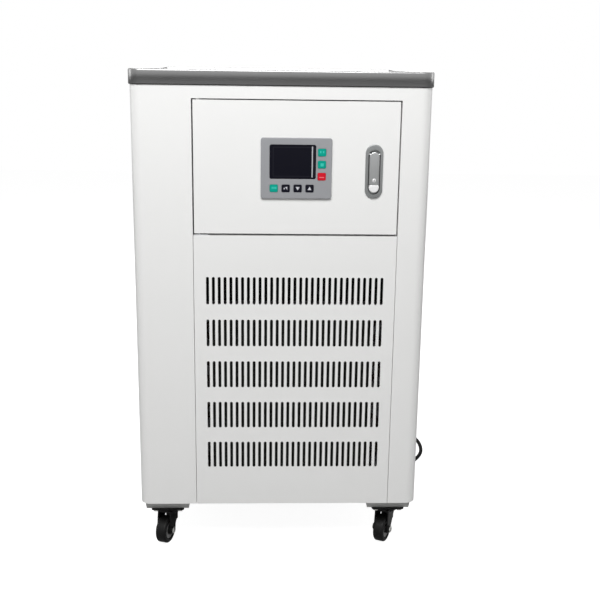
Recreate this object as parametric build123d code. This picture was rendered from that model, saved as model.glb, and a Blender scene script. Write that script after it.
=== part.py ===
from build123d import *
import math
import os

# Low-temperature recirculating chiller: a floor-standing sheet-metal cabinet on four swivel
# casters, with a door over the controls, a slotted front panel over the condenser, a reservoir
# with an evaporator coil under the top, and a circulation pump. All sizes are millimetres.
# X runs to the right, Y to the back, Z up. The origin is on the floor under the middle of the
# object. Widths are given from the middle, depths from the front face (place with deep) and
# heights from the cabinet's lower edge (place with high).

# Cabinet
cabinet_width = 500
cabinet_depth = 500
cabinet_height = 768          # lower edge of the shell to the top of the rim
corner_radius = 18
sheet = 1.5
flange = 12                   # inward folds at the shell's top and rear edges

# Caster and rail under the cabinet
caster_height = 72
wheel_diameter = 50
wheel_width = 20
caster_trail = 17
plate_size = 60
plate_sheet = 2.5
rail_height = 26
rail_bottom_width = 78
rail_top_width = 88
rail_sheet = 2.5
rail_centre = 205             # from the middle of the cabinet to the middle of a rail
rail_setback = 36             # rail end to the cabinet's front or rear
kingpin_setback = 61
swivel_angles = {"front_left": 20, "front_right": 27, "rear_left": 38, "rear_right": 12}

# Stainless top
rim_height = 24
rim_overhang = 2.5
rim_width = 9
tray_recess = 12
tray_sheet = 1.2

# Front opening, shared by the door and the slotted panel
opening_left = -149
opening_right = 199
opening_top = 721.5
return_depth = 18             # how far the fold round the opening runs back
stop_lip = 12                 # fold behind the door's latch edge
panel_sheet = 1.2

# Door
door_gap_side = 2.5
door_gap_top = 2
door_gap_bottom = 3.5
door_height = 221.5
door_flange = 16
hinge_inset_x = 8             # hinge pin from the door's left edge
hinge_inset_y = 6             # hinge pin behind the front face
hinge_pin_radius = 3
running = 0.05                # radial clearance of a pin in its hole
pin_reach = 6                 # hinge pin inside the door's flange

# Slotted front panel
panel_gap_side = 0.8
panel_flange = 12
slot_width = 5
slot_height = 48.5
slot_pitch_x = 10
slot_pitch_z = 75.5
slot_columns = 31
slot_rows = 5

# Controller
bezel_width = 118.5
bezel_height = 101
bezel_proud = 4
bezel_left = -34.5
bezel_bottom = 558.5
bezel_radius = 4
module_width = 99
module_height = 81
module_depth = 45
window_width = 77.5
window_height = 57
window_left = -20
window_bottom = 591.5
window_recess = 0.6
window_sheet = 2
key_width = 13.5
key_height = 12.5
key_pitch = 20
key_first_x = -12.7
key_first_z = 575.8
key_proud = 0.6
key_thickness = 3.2
key_travel = 0.8
key_clearance = 0.35

# Latch
latch_x = 155
latch_bottom = 560
latch_width = 29.5
latch_height = 90
latch_proud = 3
latch_body_width = 23
latch_body_height = 82
recess_width = 20.5
recess_top = 641.5
recess_bottom = 566.5
recess_depth = 7
handle_width = 17
handle_top = 637.5
handle_bottom = 582.8
handle_front = 6
handle_back = 2
handle_pin_radius = 1.5
handle_pin_y = -1
button_bottom = 570
button_back = 3
button_travel = 3
button_clearance = 0.4
tongue_width = 16
tongue_sheet = 4
tongue_y = 20
tongue_short = 1              # rest gap between the tongue and the stop lip
tongue_left = 138
tongue_travel = 8
slide_clearance = 0.3

# Inside
base_sheet = 2
base_front = 18
base_flange = 25
shelf_height = 480
shelf_front = 46
shelf_flange = 20
rail_depth = 30               # cross rail under the door
rail_face = 30
rail_front = 14
condenser_left = -120
condenser_right = 167
condenser_front = 28
condenser_depth = 60
condenser_bottom = 10
tube_rows = 14
tube_pitch = 25.1
tube_radius = 4.75
fin_pitch = 6
fin_groove = 3
shroud_right = 176
fan_radius = 138
fan_hole_radius = 145
fan_y = 112
fan_blades = 5
motor_radius = 36
motor_length = 70
plant_setback = 170           # compressor and tank from the cabinet's back
compressor_inset = 140        # from the cabinet's left side
compressor_radius = 75
compressor_height = 230
compressor_foot = 160
compressor_foot_sheet = 3
compressor_shoulder = 40
compressor_seam = 6
stub_length = 20
grommet_height = 12
grommet_radius = 11
tank_x = 40
tank_radius = 105
tank_sheet = 1.5
tank_headroom = 34.5          # tank top to the tray
neck_radius = 20
cap_plug = 12
cap_flange = 5
cap_sheet = 3
drier_inset = 35
drier_y = 150
drier_radius = 13
drier_length = 110
electrics_y = 150
electrics_gap_left = 60
electrics_gap_right = 40
electrics_foot = 20
contactor_width = 55
contactor_height = 85
contactor_depth = 40
contactor_step = 30
contactor_inset = 5
contactor_left = 40           # from the electrics plate's left edge
contactor_raise = 60          # above the shelf
core_width = 80
core_height = 70
core_depth = 36
core_leg = 14
core_right = 70               # from the electrics plate's right edge
core_raise = 50
winding_proud = 14
pump_inset = 100
pump_setback = 70             # pump's rear face from the cabinet's back
pump_length = 100
pump_z = 62
pump_radius = 42
volute_length = 30
volute_step = 4
pump_inlet = 18
pump_stub = 58
pump_foot_width = 70
pump_foot_sheet = 4

# Ports and cord
port_rise = 120               # hose ports above the shelf
drain_rise = 40
outlet_inset = 72
nut_length = 6
nipple_radius = 8
nipple_reach = 32
drain_reach = 46
rear_sheet = 1.2
gland_inset = 60
gland_z = 60
cord_radius = 4
coil_lanes = 3
coil_layers = 2
coil_mean_radius = 41
coil_x = 35
coil_gap = 122                # middle of the coil behind the cabinet's back

# Smaller sizes that several pieces share
bolt_radius = 4.2
bolt_spacing = 44
bolt_places = [(dx * bolt_spacing / 2, dy * bolt_spacing / 2) for dx in (-1, 1) for dy in (-1, 1)]
kingpin_radius = 4
race_radius = 21
fork_top = 63.5
fork_head = 4
rivet_head = 4
axial_gap = 0.3
leg_sheet = 2.5
axle_radius = 4
gland_thread_radius = 10
tail_length = 20
feed_radius = 9
drain_radius = 6
stem_radius = 3
shaft_radius = 4
tube_room = 22
coil_tube_radius = 5

# Places worked out from the sizes above
front_reach = max(rim_overhang, handle_front, bezel_proud + key_proud)
rear_reach = max(nipple_reach, drain_reach) + rear_sheet
front_y = (front_reach - cabinet_depth - rear_reach) / 2
ground_gap = caster_height + rail_height
half_width = cabinet_width / 2
inner_half = half_width - sheet
shell_top = cabinet_height - tray_recess - tray_sheet
deck = cabinet_height - tray_recess
door_left = opening_left + door_gap_side
door_right = opening_right - door_gap_side
door_top = opening_top - door_gap_top
door_bottom = door_top - door_height
panel_top = door_bottom - door_gap_bottom
panel_left = opening_left + panel_gap_side
panel_right = opening_right - panel_gap_side
hinge_x = door_left + hinge_inset_x
lip_front = return_depth - sheet
rear_half = half_width - corner_radius - 2


def deep(distance):
    """Y of a place that lies this far behind the cabinet's front face."""
    return front_y + distance


def high(height):
    """Z of a place that lies this far above the cabinet's lower edge."""
    return ground_gap + height


def tube_z(row):
    """Z of one of the condenser's tube rows."""
    return high(condenser_bottom + (row + 0.5) * tube_pitch)


def block(x0, x1, y0, y1, z0, z1):
    """Box between two X, two depths behind the front face and two Z."""
    middle = Pos((x0 + x1) / 2, deep((y0 + y1) / 2), (z0 + z1) / 2)
    return middle * Box(x1 - x0, y1 - y0, z1 - z0)


def post(x, y, radius, z0, z1):
    """Upright cylinder at a depth behind the front face."""
    return Pos(x, deep(y), (z0 + z1) / 2) * Cylinder(radius, z1 - z0)


def bar_x(x0, x1, y, z, radius):
    """Cylinder along X."""
    return Pos((x0 + x1) / 2, deep(y), z) * Rot(0, 90, 0) * Cylinder(radius, x1 - x0)


def bar_y(x, y0, y1, z, radius):
    """Cylinder along Y."""
    return Pos(x, deep((y0 + y1) / 2), z) * Rot(90, 0, 0) * Cylinder(radius, y1 - y0)


def front_plate(sketch, x, z, y0, y1):
    """Extrudes a sketch drawn in X and Z, from one depth to a deeper one."""
    plane = Plane(origin=(x, deep(y1), z), x_dir=(1, 0, 0), z_dir=(0, -1, 0))
    return extrude(plane * sketch, y1 - y0)


def flat_plate(sketch, x, y, z0, z1):
    """Extrudes a sketch drawn in X and Y, from one height to a higher one."""
    return extrude(Pos(x, deep(y), z0) * sketch, z1 - z0)


def folded_tray(x0, x1, y0, y1, z0, z1, wall, open_side):
    """Shallow sheet-metal box between the given limits, open on one side."""
    outer = block(x0, x1, y0, y1, z0, z1)
    grow = {side: wall for side in ("left", "right", "front", "rear", "bottom", "top")}
    grow[open_side] = -1
    inner = block(
        x0 + grow["left"],
        x1 - grow["right"],
        y0 + grow["front"],
        y1 - grow["rear"],
        z0 + grow["bottom"],
        z1 - grow["top"],
    )
    return outer - inner


def bent_tube(points, radius, bend):
    """Round bar along straight runs joined by arcs; a fixed bend radius fits every corner."""
    path = FilletPolyline(*[Vector(x, deep(y), z) for x, y, z in points], radius=bend)
    start = Plane(origin=path @ 0, z_dir=path % 0)
    return sweep(start * Circle(radius), path=path)


def save(name, shape):
    """Writes one node, joined from its pieces."""
    export_step(shape, os.path.join("parts", name + ".step"))


# Places of the pieces inside and on the door
tube_y = condenser_front + condenser_depth / 2
line_y = condenser_front + condenser_depth + 30
compressor_x = compressor_inset - half_width
compressor_y = cabinet_depth - plant_setback
tank_y = cabinet_depth - plant_setback
tank_height = deck - shelf_height - sheet - tank_headroom
drier_x = drier_inset - half_width
port_z = shelf_height + port_rise
drain_z = shelf_height + drain_rise
outlet_x = half_width - outlet_inset
gland_x = half_width - gland_inset
electrics_left = electrics_gap_left - half_width
electrics_right = half_width - electrics_gap_right
pump_x = half_width - pump_inset
pump_back = cabinet_depth - pump_setback
pump_front = pump_back - pump_length
volute_front = pump_front - volute_length
fan_x = (condenser_left + condenser_right) / 2
fan_middle_z = condenser_bottom + tube_rows * tube_pitch / 2
discharge_x = compressor_x - 40
suction_x = compressor_x + 30
compressor_stub_top = high(base_sheet + grommet_height + compressor_height + stub_length)
bezel_middle_x = bezel_left + bezel_width / 2
bezel_middle_z = bezel_bottom + bezel_height / 2
window_middle_x = window_left + window_width / 2
window_middle_z = window_bottom + window_height / 2
latch_middle_z = latch_bottom + latch_height / 2
handle_pin_z = handle_top - 4
pump_outlet_y = volute_front + volute_length / 2
pump_outlet_top = high(pump_z + pump_stub)
pump_feed_x = tank_x + 50
pump_feed_y = tank_y + 55
pump_feed_bend = volute_front - pump_inlet - 37
coil_in_x = tank_x - 30
coil_out_x = tank_x + 34
feed_end = high(shelf_height - 18)
drier_low = high(100)
coil_outer_lane = coil_x + coil_mean_radius + (coil_lanes - 1) * cord_radius
coil_y = cabinet_depth + coil_gap
plug_y = coil_y + 26
plug_z = 12.5


def outline_body(inset, z0, z1):
    """The cabinet's rounded outline, drawn in by a distance, between two Z."""
    outline = RectangleRounded(cabinet_width - 2 * inset, cabinet_depth - 2 * inset, corner_radius - inset)
    return flat_plate(outline, 0, cabinet_depth / 2, z0, z1)


def make_cabinet_shell():
    """Front with its opening, both sides and the rear folds, bent from one sheet."""
    shell = outline_body(0, high(0), high(shell_top))
    shell -= outline_body(sheet, high(-1), high(shell_top - sheet))
    top_hole = inner_half - flange
    shell -= block(
        -top_hole, top_hole, sheet + flange, cabinet_depth - sheet - flange, high(-1), high(shell_top + 1)
    )
    rear_hole = rear_half - flange
    shell -= block(
        -rear_hole, rear_hole, cabinet_depth / 2, cabinet_depth + 1, high(-1), high(shell_top - flange - sheet)
    )
    shell -= block(opening_left, opening_right, -1, corner_radius, high(-1), high(opening_top))
    left_fold = block(opening_left - sheet, opening_left, 0, return_depth, high(0), high(opening_top))
    right_fold = block(opening_right, opening_right + sheet, 0, lip_front + sheet, high(0), high(opening_top))
    head_fold = block(
        opening_left - sheet, opening_right + sheet, 0, return_depth, high(opening_top), high(opening_top + sheet)
    )
    lip = block(
        opening_right - stop_lip, opening_right, lip_front, lip_front + sheet, high(door_bottom), high(opening_top)
    )
    shell = shell + left_fold + right_fold + head_fold + lip
    return shell - post(hinge_x, hinge_inset_y, hinge_pin_radius, high(opening_top - 1), high(opening_top + sheet + 1))


def make_rear_panel():
    """Screwed-on back with air slots and the holes for the ports and the cord."""
    top = cabinet_height - rim_height - 1
    plate = block(-rear_half, rear_half, cabinet_depth, cabinet_depth + rear_sheet, high(0), high(top))
    slot = SlotOverall(70, 6)
    cuts = []
    for row in range(9):
        for column in (-100, 0, 100):
            cuts.append(Pos(column, 100 + 22 * row) * slot)
    plate -= front_plate(Sketch() + cuts, 0, high(0), cabinet_depth - 1, cabinet_depth + rear_sheet + 1)
    holes = [(outlet_x, port_z, nipple_radius), (tank_x, port_z, nipple_radius)]
    holes += [(tank_x, drain_z, nipple_radius), (gland_x, gland_z, gland_thread_radius)]
    for x, z, radius in holes:
        plate -= bar_y(x, cabinet_depth - 1, cabinet_depth + rear_sheet + 1, high(z), radius)
    return plate


def make_front_grille_panel():
    """Folded lower panel with five rows of upright air slots."""
    panel = folded_tray(panel_left, panel_right, 0, panel_flange, high(0), high(panel_top), panel_sheet, "rear")
    middle_x = (panel_left + panel_right) / 2
    middle_z = high(panel_top / 2)
    slot = Rot(0, 0, 90) * SlotOverall(slot_height, slot_width)
    slots = GridLocations(slot_pitch_x, slot_pitch_z, slot_columns, slot_rows) * slot
    return panel - front_plate(Sketch() + slots, middle_x, middle_z, -1, panel_sheet + 1)


def make_top_tray():
    """Stainless top folded from one sheet: skirt, rolled rim and recessed deck."""
    def outline(inset, z0, z1):
        width = cabinet_width + 2 * (rim_overhang - inset)
        depth = cabinet_depth + 2 * (rim_overhang - inset)
        radius = max(corner_radius + rim_overhang - inset, 1)
        sketch = RectangleRounded(width, depth, radius)
        return flat_plate(sketch, 0, cabinet_depth / 2, high(z0), high(z1))

    skirt_bottom = cabinet_height - rim_height
    outer = outline(0, skirt_bottom, cabinet_height)
    outer = fillet(outer.faces().sort_by(Axis.Z)[-1].edges(), 3)
    hollow = outline(tray_sheet, skirt_bottom - 1, cabinet_height - tray_sheet)
    hollow = fillet(hollow.faces().sort_by(Axis.Z)[-1].edges(), 3 - tray_sheet)
    pan = outline(rim_width - tray_sheet, deck - tray_sheet, cabinet_height - tray_sheet / 2)
    well = outline(rim_width, deck, cabinet_height + 1)
    tray = (outer - hollow) + pan - well
    return tray - post(tank_x, tank_y, neck_radius + tank_sheet, high(deck - tray_sheet - 1), high(deck + 1))


def make_caster_rail(side):
    """Hat-section rail under the cabinet, closed at both ends."""
    def taper(inset, bottom, top):
        low = rail_bottom_width / 2 - inset
        wide = rail_top_width / 2 - inset
        outline = Polygon((-low, 0), (low, 0), (wide, rail_height), (-wide, rail_height), align=None)
        start = rail_setback + inset
        end = cabinet_depth - rail_setback - inset
        body = front_plate(outline, side * rail_centre, high(-rail_height), start, end)
        return body & block(-half_width, half_width, start, end, bottom, top)

    rail = taper(0, caster_height, ground_gap)
    rail -= taper(rail_sheet, caster_height + rail_sheet, ground_gap)
    for setback in (kingpin_setback, cabinet_depth - kingpin_setback):
        for dx, dy in bolt_places:
            rail -= post(side * rail_centre + dx, setback + dy, bolt_radius, caster_height - 1, caster_height + 9)
    return rail


def caster_at(name):
    """X and depth of a caster's kingpin."""
    x = rail_centre if "right" in name else -rail_centre
    y = kingpin_setback if "front" in name else cabinet_depth - kingpin_setback
    return x, y


def swivelled(shape, name):
    """Puts a piece drawn round its own kingpin, trailing forward, at its caster's place and turn."""
    x, y = caster_at(name)
    return Pos(x, deep(y), 0) * Rot(0, 0, -swivel_angles[name]) * shape


def make_caster_plate(name):
    """Mounting plate with the pressed ball race and the riveted kingpin."""
    x, y = caster_at(name)
    plate = RectangleRounded(plate_size, plate_size, 5)
    plate -= [Pos(dx, dy) * Circle(bolt_radius) for dx, dy in bolt_places]
    body = flat_plate(plate, x, y, caster_height - plate_sheet, caster_height)
    body += post(x, y, race_radius, fork_top + axial_gap, caster_height - plate_sheet)
    body += post(x, y, kingpin_radius, fork_top - fork_head - rivet_head, fork_top + 1)
    body += post(x, y, kingpin_radius + 3, fork_top - fork_head - rivet_head, fork_top - fork_head - axial_gap)
    return body


def make_caster_fork(name):
    """Pressed fork with its head round the kingpin, two tapered legs and the wheel's axle."""
    leg_gap = wheel_width / 2 + 1.2
    axle_z = wheel_diameter / 2
    head_bottom = fork_top - fork_head
    head = Pos(0, 0, (head_bottom + fork_top) / 2) * Cylinder(race_radius, fork_head)
    bridge_width = 2 * (leg_gap + leg_sheet)
    bridge_middle = -caster_trail / 4
    head += Pos(0, bridge_middle, (head_bottom + fork_top) / 2) * Box(bridge_width, 34, fork_head)
    fork = head
    boss = Pos(-caster_trail, axle_z) * Circle(9)
    shoulder = Pos(bridge_middle, fork_top - fork_head) * Rectangle(34, 2 * fork_head)
    leg = make_hull((boss + shoulder).edges())
    for side in (-1, 1):
        offset = leg_gap if side > 0 else -leg_gap - leg_sheet
        plane = Plane(origin=(offset, 0, 0), x_dir=(0, 1, 0), z_dir=(1, 0, 0))
        fork += extrude(plane * leg, leg_sheet)
    axle = Pos(0, -caster_trail, axle_z) * Rot(0, 90, 0)
    fork += axle * Cylinder(axle_radius, bridge_width)
    for side in (-1, 1):
        fork += axle * Pos(0, 0, side * (bridge_width / 2 + 1.5)) * Cylinder(axle_radius + 2.5, 3)
    fork -= Pos(0, 0, fork_top) * Cylinder(kingpin_radius + running, 4 * fork_head)
    return swivelled(fork, name)


def make_caster_wheel(name):
    """Moulded wheel with a rounded tread and a dished hub."""
    radius = wheel_diameter / 2
    wheel = Cylinder(radius, wheel_width)
    wheel = fillet(wheel.edges(), 4)
    dish = Cylinder(radius * 0.7, 2.5) - Cylinder(axle_radius + 4, 2.5)
    for side in (-1, 1):
        wheel -= Pos(0, 0, side * (wheel_width / 2 - 1.25)) * dish
    for side in (-1, 1):
        wheel += Pos(0, 0, side * (wheel_width / 2 + 0.4)) * Cylinder(axle_radius + 4, 0.8)
    wheel -= Cylinder(axle_radius + running, wheel_width + 4)
    placed = Pos(0, -caster_trail, radius) * Rot(0, 90, 0) * wheel
    return swivelled(placed, name)


def fitted_pan(front, wall, z0, z1, hollow_z0, hollow_z1):
    """Folded pan that fits between the shell's walls, from a depth to the cabinet's back."""
    room = block(-half_width, half_width, front, cabinet_depth, z0, z1)
    hollow_room = block(-half_width, half_width, front + wall, cabinet_depth, hollow_z0, hollow_z1)
    outer = outline_body(sheet, z0, z1) & room
    return outer - (outline_body(sheet + wall, hollow_z0, hollow_z1) & hollow_room)


def make_base_pan():
    """Folded floor of the cabinet, with its edges turned up."""
    return fitted_pan(
        base_front, base_sheet, high(0), high(base_flange), high(base_sheet), high(base_flange + 1)
    )


def make_cross_rail():
    """Channel between the door and the slotted panel, with the door's lower pin on its strap."""
    bottom = panel_top - rail_face
    rail = block(opening_left, opening_right, rail_front, rail_front + rail_depth, high(bottom), high(panel_top))
    rail -= block(
        opening_left - 1,
        opening_right + 1,
        rail_front + sheet,
        rail_front + rail_depth + 1,
        high(bottom + sheet),
        high(panel_top - sheet),
    )
    back = rail_front + rail_depth
    strap = block(door_left, door_left + 24, panel_sheet, back, high(panel_top), high(panel_top + sheet))
    pin = post(hinge_x, hinge_inset_y, hinge_pin_radius, high(panel_top), high(door_bottom + pin_reach))
    return rail + strap + pin


def make_upper_hinge_pin():
    """Headed pin dropped through the header's fold into the door."""
    under_head = opening_top + sheet
    pin = post(hinge_x, hinge_inset_y, hinge_pin_radius, high(door_top - pin_reach), high(under_head))
    return pin + post(hinge_x, hinge_inset_y, hinge_pin_radius + 1.2, high(under_head), high(under_head + 3))


def make_door_panel():
    """Folded door with its flanges, hinge holes and the cut-outs for controller and latch."""
    door = folded_tray(door_left, door_right, 0, door_flange, high(door_bottom), high(door_top), panel_sheet, "rear")
    hole = hinge_pin_radius + running
    door -= post(hinge_x, hinge_inset_y, hole, high(door_bottom - 1), high(door_top + 1))
    fit = slide_clearance
    cutout = Rectangle(module_width + 2 * fit, module_height + 2 * fit)
    door -= front_plate(cutout, bezel_middle_x, high(bezel_middle_z), -1, panel_sheet + 1)
    latch_cutout = Rot(0, 0, 90) * SlotOverall(latch_body_height + 2 * fit, latch_body_width + 2 * fit)
    return door - front_plate(latch_cutout, latch_x, high(latch_middle_z), -1, panel_sheet + 1)


def key_places():
    """Name and middle of each key: four along the bottom, three up the right side."""
    column = key_first_x + 4 * key_pitch
    return {
        "menu_key": (key_first_x, key_first_z),
        "shift_key": (key_first_x + key_pitch, key_first_z),
        "down_key": (key_first_x + 2 * key_pitch, key_first_z),
        "up_key": (key_first_x + 3 * key_pitch, key_first_z),
        "stop_key": (column, key_first_z + key_pitch),
        "start_key": (column, key_first_z + 2 * key_pitch),
        "mode_key": (column, key_first_z + 3 * key_pitch),
    }


def make_controller_housing():
    """Moulded bezel with the module box behind the door, the window's seat and the key wells."""
    bezel = front_plate(
        RectangleRounded(bezel_width, bezel_height, bezel_radius), bezel_middle_x, high(bezel_middle_z), -bezel_proud, 0
    )
    bezel = fillet(bezel.faces().sort_by(Axis.Y)[0].edges(), 1.2)
    module = Rectangle(module_width, module_height)
    housing = bezel + front_plate(module, bezel_middle_x, high(bezel_middle_z), 0, module_depth)
    seat = Rectangle(window_width, window_height)
    floor = window_recess + window_sheet - bezel_proud
    housing -= front_plate(seat, window_middle_x, high(window_middle_z), -bezel_proud - 1, floor)
    well = RectangleRounded(key_width + 2 * key_clearance, key_height + 2 * key_clearance, 2 + key_clearance)
    well_floor = key_thickness + key_travel + slide_clearance - bezel_proud - key_proud
    for x, z in key_places().values():
        housing -= front_plate(well, x, high(z), -bezel_proud - 1, well_floor)
    return housing


def make_display_window():
    """Dark plate set just under the bezel's face."""
    start = window_recess - bezel_proud
    plate = Rectangle(window_width, window_height)
    return front_plate(plate, window_middle_x, high(window_middle_z), start, start + window_sheet)


def make_key(x, z):
    """One soft key with rounded corners."""
    front = -bezel_proud - key_proud
    key = front_plate(RectangleRounded(key_width, key_height, 2), x, high(z), front, front + key_thickness)
    return fillet(key.faces().sort_by(Axis.Y)[0].edges(), 0.4)


def make_latch_housing():
    """Stadium-shaped face plate and body, with the recess, the pivot holes and the tongue's slot."""
    face = Rot(0, 0, 90) * SlotOverall(latch_height, latch_width)
    housing = front_plate(face, latch_x, high(latch_middle_z), -latch_proud, 0)
    housing = fillet(housing.faces().sort_by(Axis.Y)[0].edges(), 1.2)
    body = Rot(0, 0, 90) * SlotOverall(latch_body_height, latch_body_width)
    housing += front_plate(body, latch_x, high(latch_middle_z), 0, tongue_y + tongue_sheet + 3)
    recess_length = recess_top - recess_bottom
    recess = Rot(0, 0, 90) * SlotOverall(recess_length, recess_width)
    recess_middle = (recess_top + recess_bottom) / 2
    housing -= front_plate(recess, latch_x, high(recess_middle), -latch_proud - 1, recess_depth)
    pivot = bar_x(latch_x - latch_body_width / 2, latch_x + latch_body_width / 2, 0, 0, handle_pin_radius + running)
    housing -= Pos(0, handle_pin_y, high(handle_pin_z)) * pivot
    half = tongue_width / 2 + slide_clearance
    slot = block(
        latch_x - latch_width,
        latch_x + latch_width,
        tongue_y - slide_clearance,
        tongue_y + tongue_sheet + slide_clearance,
        high(latch_middle_z - half),
        high(latch_middle_z + half),
    )
    return housing - slot


def make_latch_handle():
    """Lever with a round top, hung on a cross pin near its upper end."""
    radius = handle_width / 2
    length = handle_top - handle_bottom
    outline = Pos(0, length / 2 - radius) * Circle(radius)
    outline += Pos(0, -radius / 2) * Rectangle(handle_width, length - radius)
    middle = high((handle_top + handle_bottom) / 2)
    handle = front_plate(outline, latch_x, middle, -handle_front, handle_back)
    handle = fillet(handle.faces().sort_by(Axis.Y)[0].edges(), 1.5)
    reach = latch_body_width / 2
    pin = bar_x(latch_x - reach, latch_x + reach, 0, 0, handle_pin_radius)
    return handle + Pos(0, handle_pin_y, high(handle_pin_z)) * pin


def make_latch_button():
    """Push button with a straight top and a round lower end."""
    radius = handle_width / 2
    top = handle_bottom - button_clearance
    length = top - button_bottom
    outline = Pos(0, radius) * Circle(radius) & Pos(0, length / 2) * Rectangle(handle_width, length)
    button = front_plate(outline, latch_x, high(button_bottom), -handle_front, button_back)
    return fillet(button.faces().sort_by(Axis.Y)[0].edges(), 1.2)


def make_latch_tongue():
    """Flat tongue behind the housing, short of the stop lip by its rest gap."""
    half = tongue_width / 2
    tip = opening_right - stop_lip - tongue_short
    tongue = block(
        tongue_left, tip, tongue_y, tongue_y + tongue_sheet, high(latch_middle_z - half), high(latch_middle_z + half)
    )
    return chamfer(tongue.edges().filter_by(Axis.Z).group_by(Axis.X)[-1], 1)


def make_condenser_fins():
    """Fin pack with fin grooves front and back, bored for the tube rows."""
    top = condenser_bottom + tube_rows * tube_pitch
    back = condenser_front + condenser_depth
    pack = block(condenser_left, condenser_right, condenser_front, back, high(condenser_bottom), high(top))
    count = int((condenser_right - condenser_left) / fin_pitch) - 1
    middle_x = (condenser_left + condenser_right) / 2
    grooves = GridLocations(fin_pitch, 1, count, 1) * Rectangle(fin_pitch / 2, top)
    for start, end in ((condenser_front - 1, condenser_front + fin_groove), (back - fin_groove, back + 1)):
        cut = front_plate(Sketch() + grooves, middle_x, high(condenser_bottom + top / 2), start, end)
        pack -= cut
    for row in range(tube_rows):
        pack -= bar_x(condenser_left - 1, condenser_right + 1, tube_y, tube_z(row), tube_radius)
    return pack


def make_condenser_tubes():
    """One tube that runs to and fro through the fins, from the top row to the bottom one."""
    left = condenser_left - 14
    right = condenser_right + 14
    points = [(discharge_x, line_y, tube_z(tube_rows - 1)), (discharge_x, tube_y, tube_z(tube_rows - 1))]
    for row in reversed(range(tube_rows)):
        near, far = (left, right) if (tube_rows - row) % 2 else (right, left)
        if row < tube_rows - 1:
            points.append((near, tube_y, tube_z(row)))
        if row > 0:
            points.append((far, tube_y, tube_z(row)))
    points += [(discharge_x, tube_y, tube_z(0)), (discharge_x, line_y, tube_z(0))]
    return bent_tube(points, tube_radius, tube_pitch * 0.48)


def make_fan_shroud():
    """Sheet frame that holds the fin pack, with the fan's hole and a short collar."""
    back = condenser_front + condenser_depth
    left = condenser_left - tube_room
    top = condenser_bottom + tube_rows * tube_pitch + sheet
    bottom = base_sheet
    frame = block(left, shroud_right + tube_room, condenser_front, back + sheet, high(bottom), high(top))
    inside = block(
        left + sheet,
        shroud_right + tube_room - sheet,
        condenser_front - 1,
        back,
        high(condenser_bottom),
        high(top - sheet),
    )
    under = block(left - 1, shroud_right + tube_room + 1, condenser_front + sheet, back, high(0), high(8.5))
    frame = frame - inside - under
    middle = high(fan_middle_z)
    frame += bar_y(fan_x, back, back + 20, middle, fan_hole_radius + sheet)
    frame -= bar_y(fan_x, back - 1, back + 21, middle, fan_hole_radius)
    frame -= block(left - 1, left + sheet + 1, tube_y - 8, back + sheet + 1, tube_z(0) - 8, tube_z(0) + 8)
    high_tube = tube_z(tube_rows - 1)
    return frame - block(left - 1, left + sheet + 1, tube_y - 8, back + sheet + 1, high_tube - 8, high_tube + 8)


def make_fan_motor():
    """Motor on three flat arms behind the shroud."""
    back = condenser_front + condenser_depth + sheet
    middle = high(fan_middle_z)
    motor_front = fan_y + 26
    motor = bar_y(fan_x, motor_front, motor_front + motor_length, middle, motor_radius)
    motor += bar_y(fan_x, fan_y - 6, motor_front + 1, middle, shaft_radius)
    reach = fan_hole_radius + 12
    for turn in (90, 210, 330):
        arm = Pos(reach / 2, 0, 0) * Box(reach, 16, 3)
        height = motor_front + 3 - back
        foot = Pos(reach - 1.5, 0, -height / 2 + 1.5) * Box(3, 16, height)
        pad = Pos(reach + 5, 0, -height + 3) * Box(12, 16, 3)
        spoke = Rot(0, 0, turn) * (arm + foot + pad)
        motor += Pos(fan_x, deep(motor_front + 1.5), middle) * Rot(-90, 0, 0) * spoke
    return motor


def make_fan():
    """Axial fan: hub and pitched blades."""
    middle = high(fan_middle_z)
    hub = bar_y(fan_x, fan_y - 12, fan_y + 16, middle, 26)
    blade = Pos((24 + fan_radius) / 2, 0, 0) * Rot(28, 0, 0) * Box(fan_radius - 24, 62, 1.6)
    reach = Cylinder(fan_radius, 60)
    fan = hub
    for turn in range(fan_blades):
        placed = Rot(0, 0, turn * 360 / fan_blades) * blade & reach
        fan += Pos(fan_x, deep(fan_y), middle) * Rot(-90, 0, 0) * placed
    return fan - bar_y(fan_x, fan_y - 6 - slide_clearance, fan_y + 20, middle, shaft_radius + running)


def make_compressor():
    """Welded can on its foot plate, with the two stubs on top."""
    bottom = high(base_sheet + grommet_height)
    foot_top = bottom + compressor_foot_sheet
    can_top = foot_top + compressor_height
    profile = Pos(compressor_radius / 2, compressor_height / 2) * Rectangle(compressor_radius, compressor_height)
    top_corner = profile.vertices().group_by(Axis.X)[-1].sort_by(Axis.Y)[1]
    profile = fillet(top_corner, compressor_shoulder)
    low_corner = profile.vertices().group_by(Axis.X)[-1].sort_by(Axis.Y)[0]
    profile = fillet(low_corner, grommet_height)
    can = Pos(compressor_x, deep(compressor_y), foot_top) * revolve(Plane.XZ * profile, Axis.Z)
    foot = RectangleRounded(compressor_foot, compressor_foot, grommet_height)
    can += flat_plate(foot, compressor_x, compressor_y, bottom, foot_top)
    seam = bottom + compressor_height / 2 + compressor_seam
    can += post(compressor_x, compressor_y, compressor_radius + leg_sheet, seam - compressor_seam, seam)
    stub_start = can_top - compressor_shoulder * 0.75
    can += post(discharge_x, compressor_y, coil_tube_radius, stub_start, compressor_stub_top)
    return can + post(suction_x, compressor_y, drain_radius, stub_start, compressor_stub_top)


def make_compressor_grommets():
    """Four rubber feet under the compressor's corners."""
    feet = []
    reach = compressor_foot / 2 - grommet_radius - compressor_foot_sheet
    for dx in (-reach, reach):
        for dy in (-reach, reach):
            x = compressor_x + dx
            y = compressor_y + dy
            feet.append(post(x, y, grommet_radius, high(base_sheet), high(base_sheet + grommet_height)))
    return Compound(children=feet)


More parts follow.
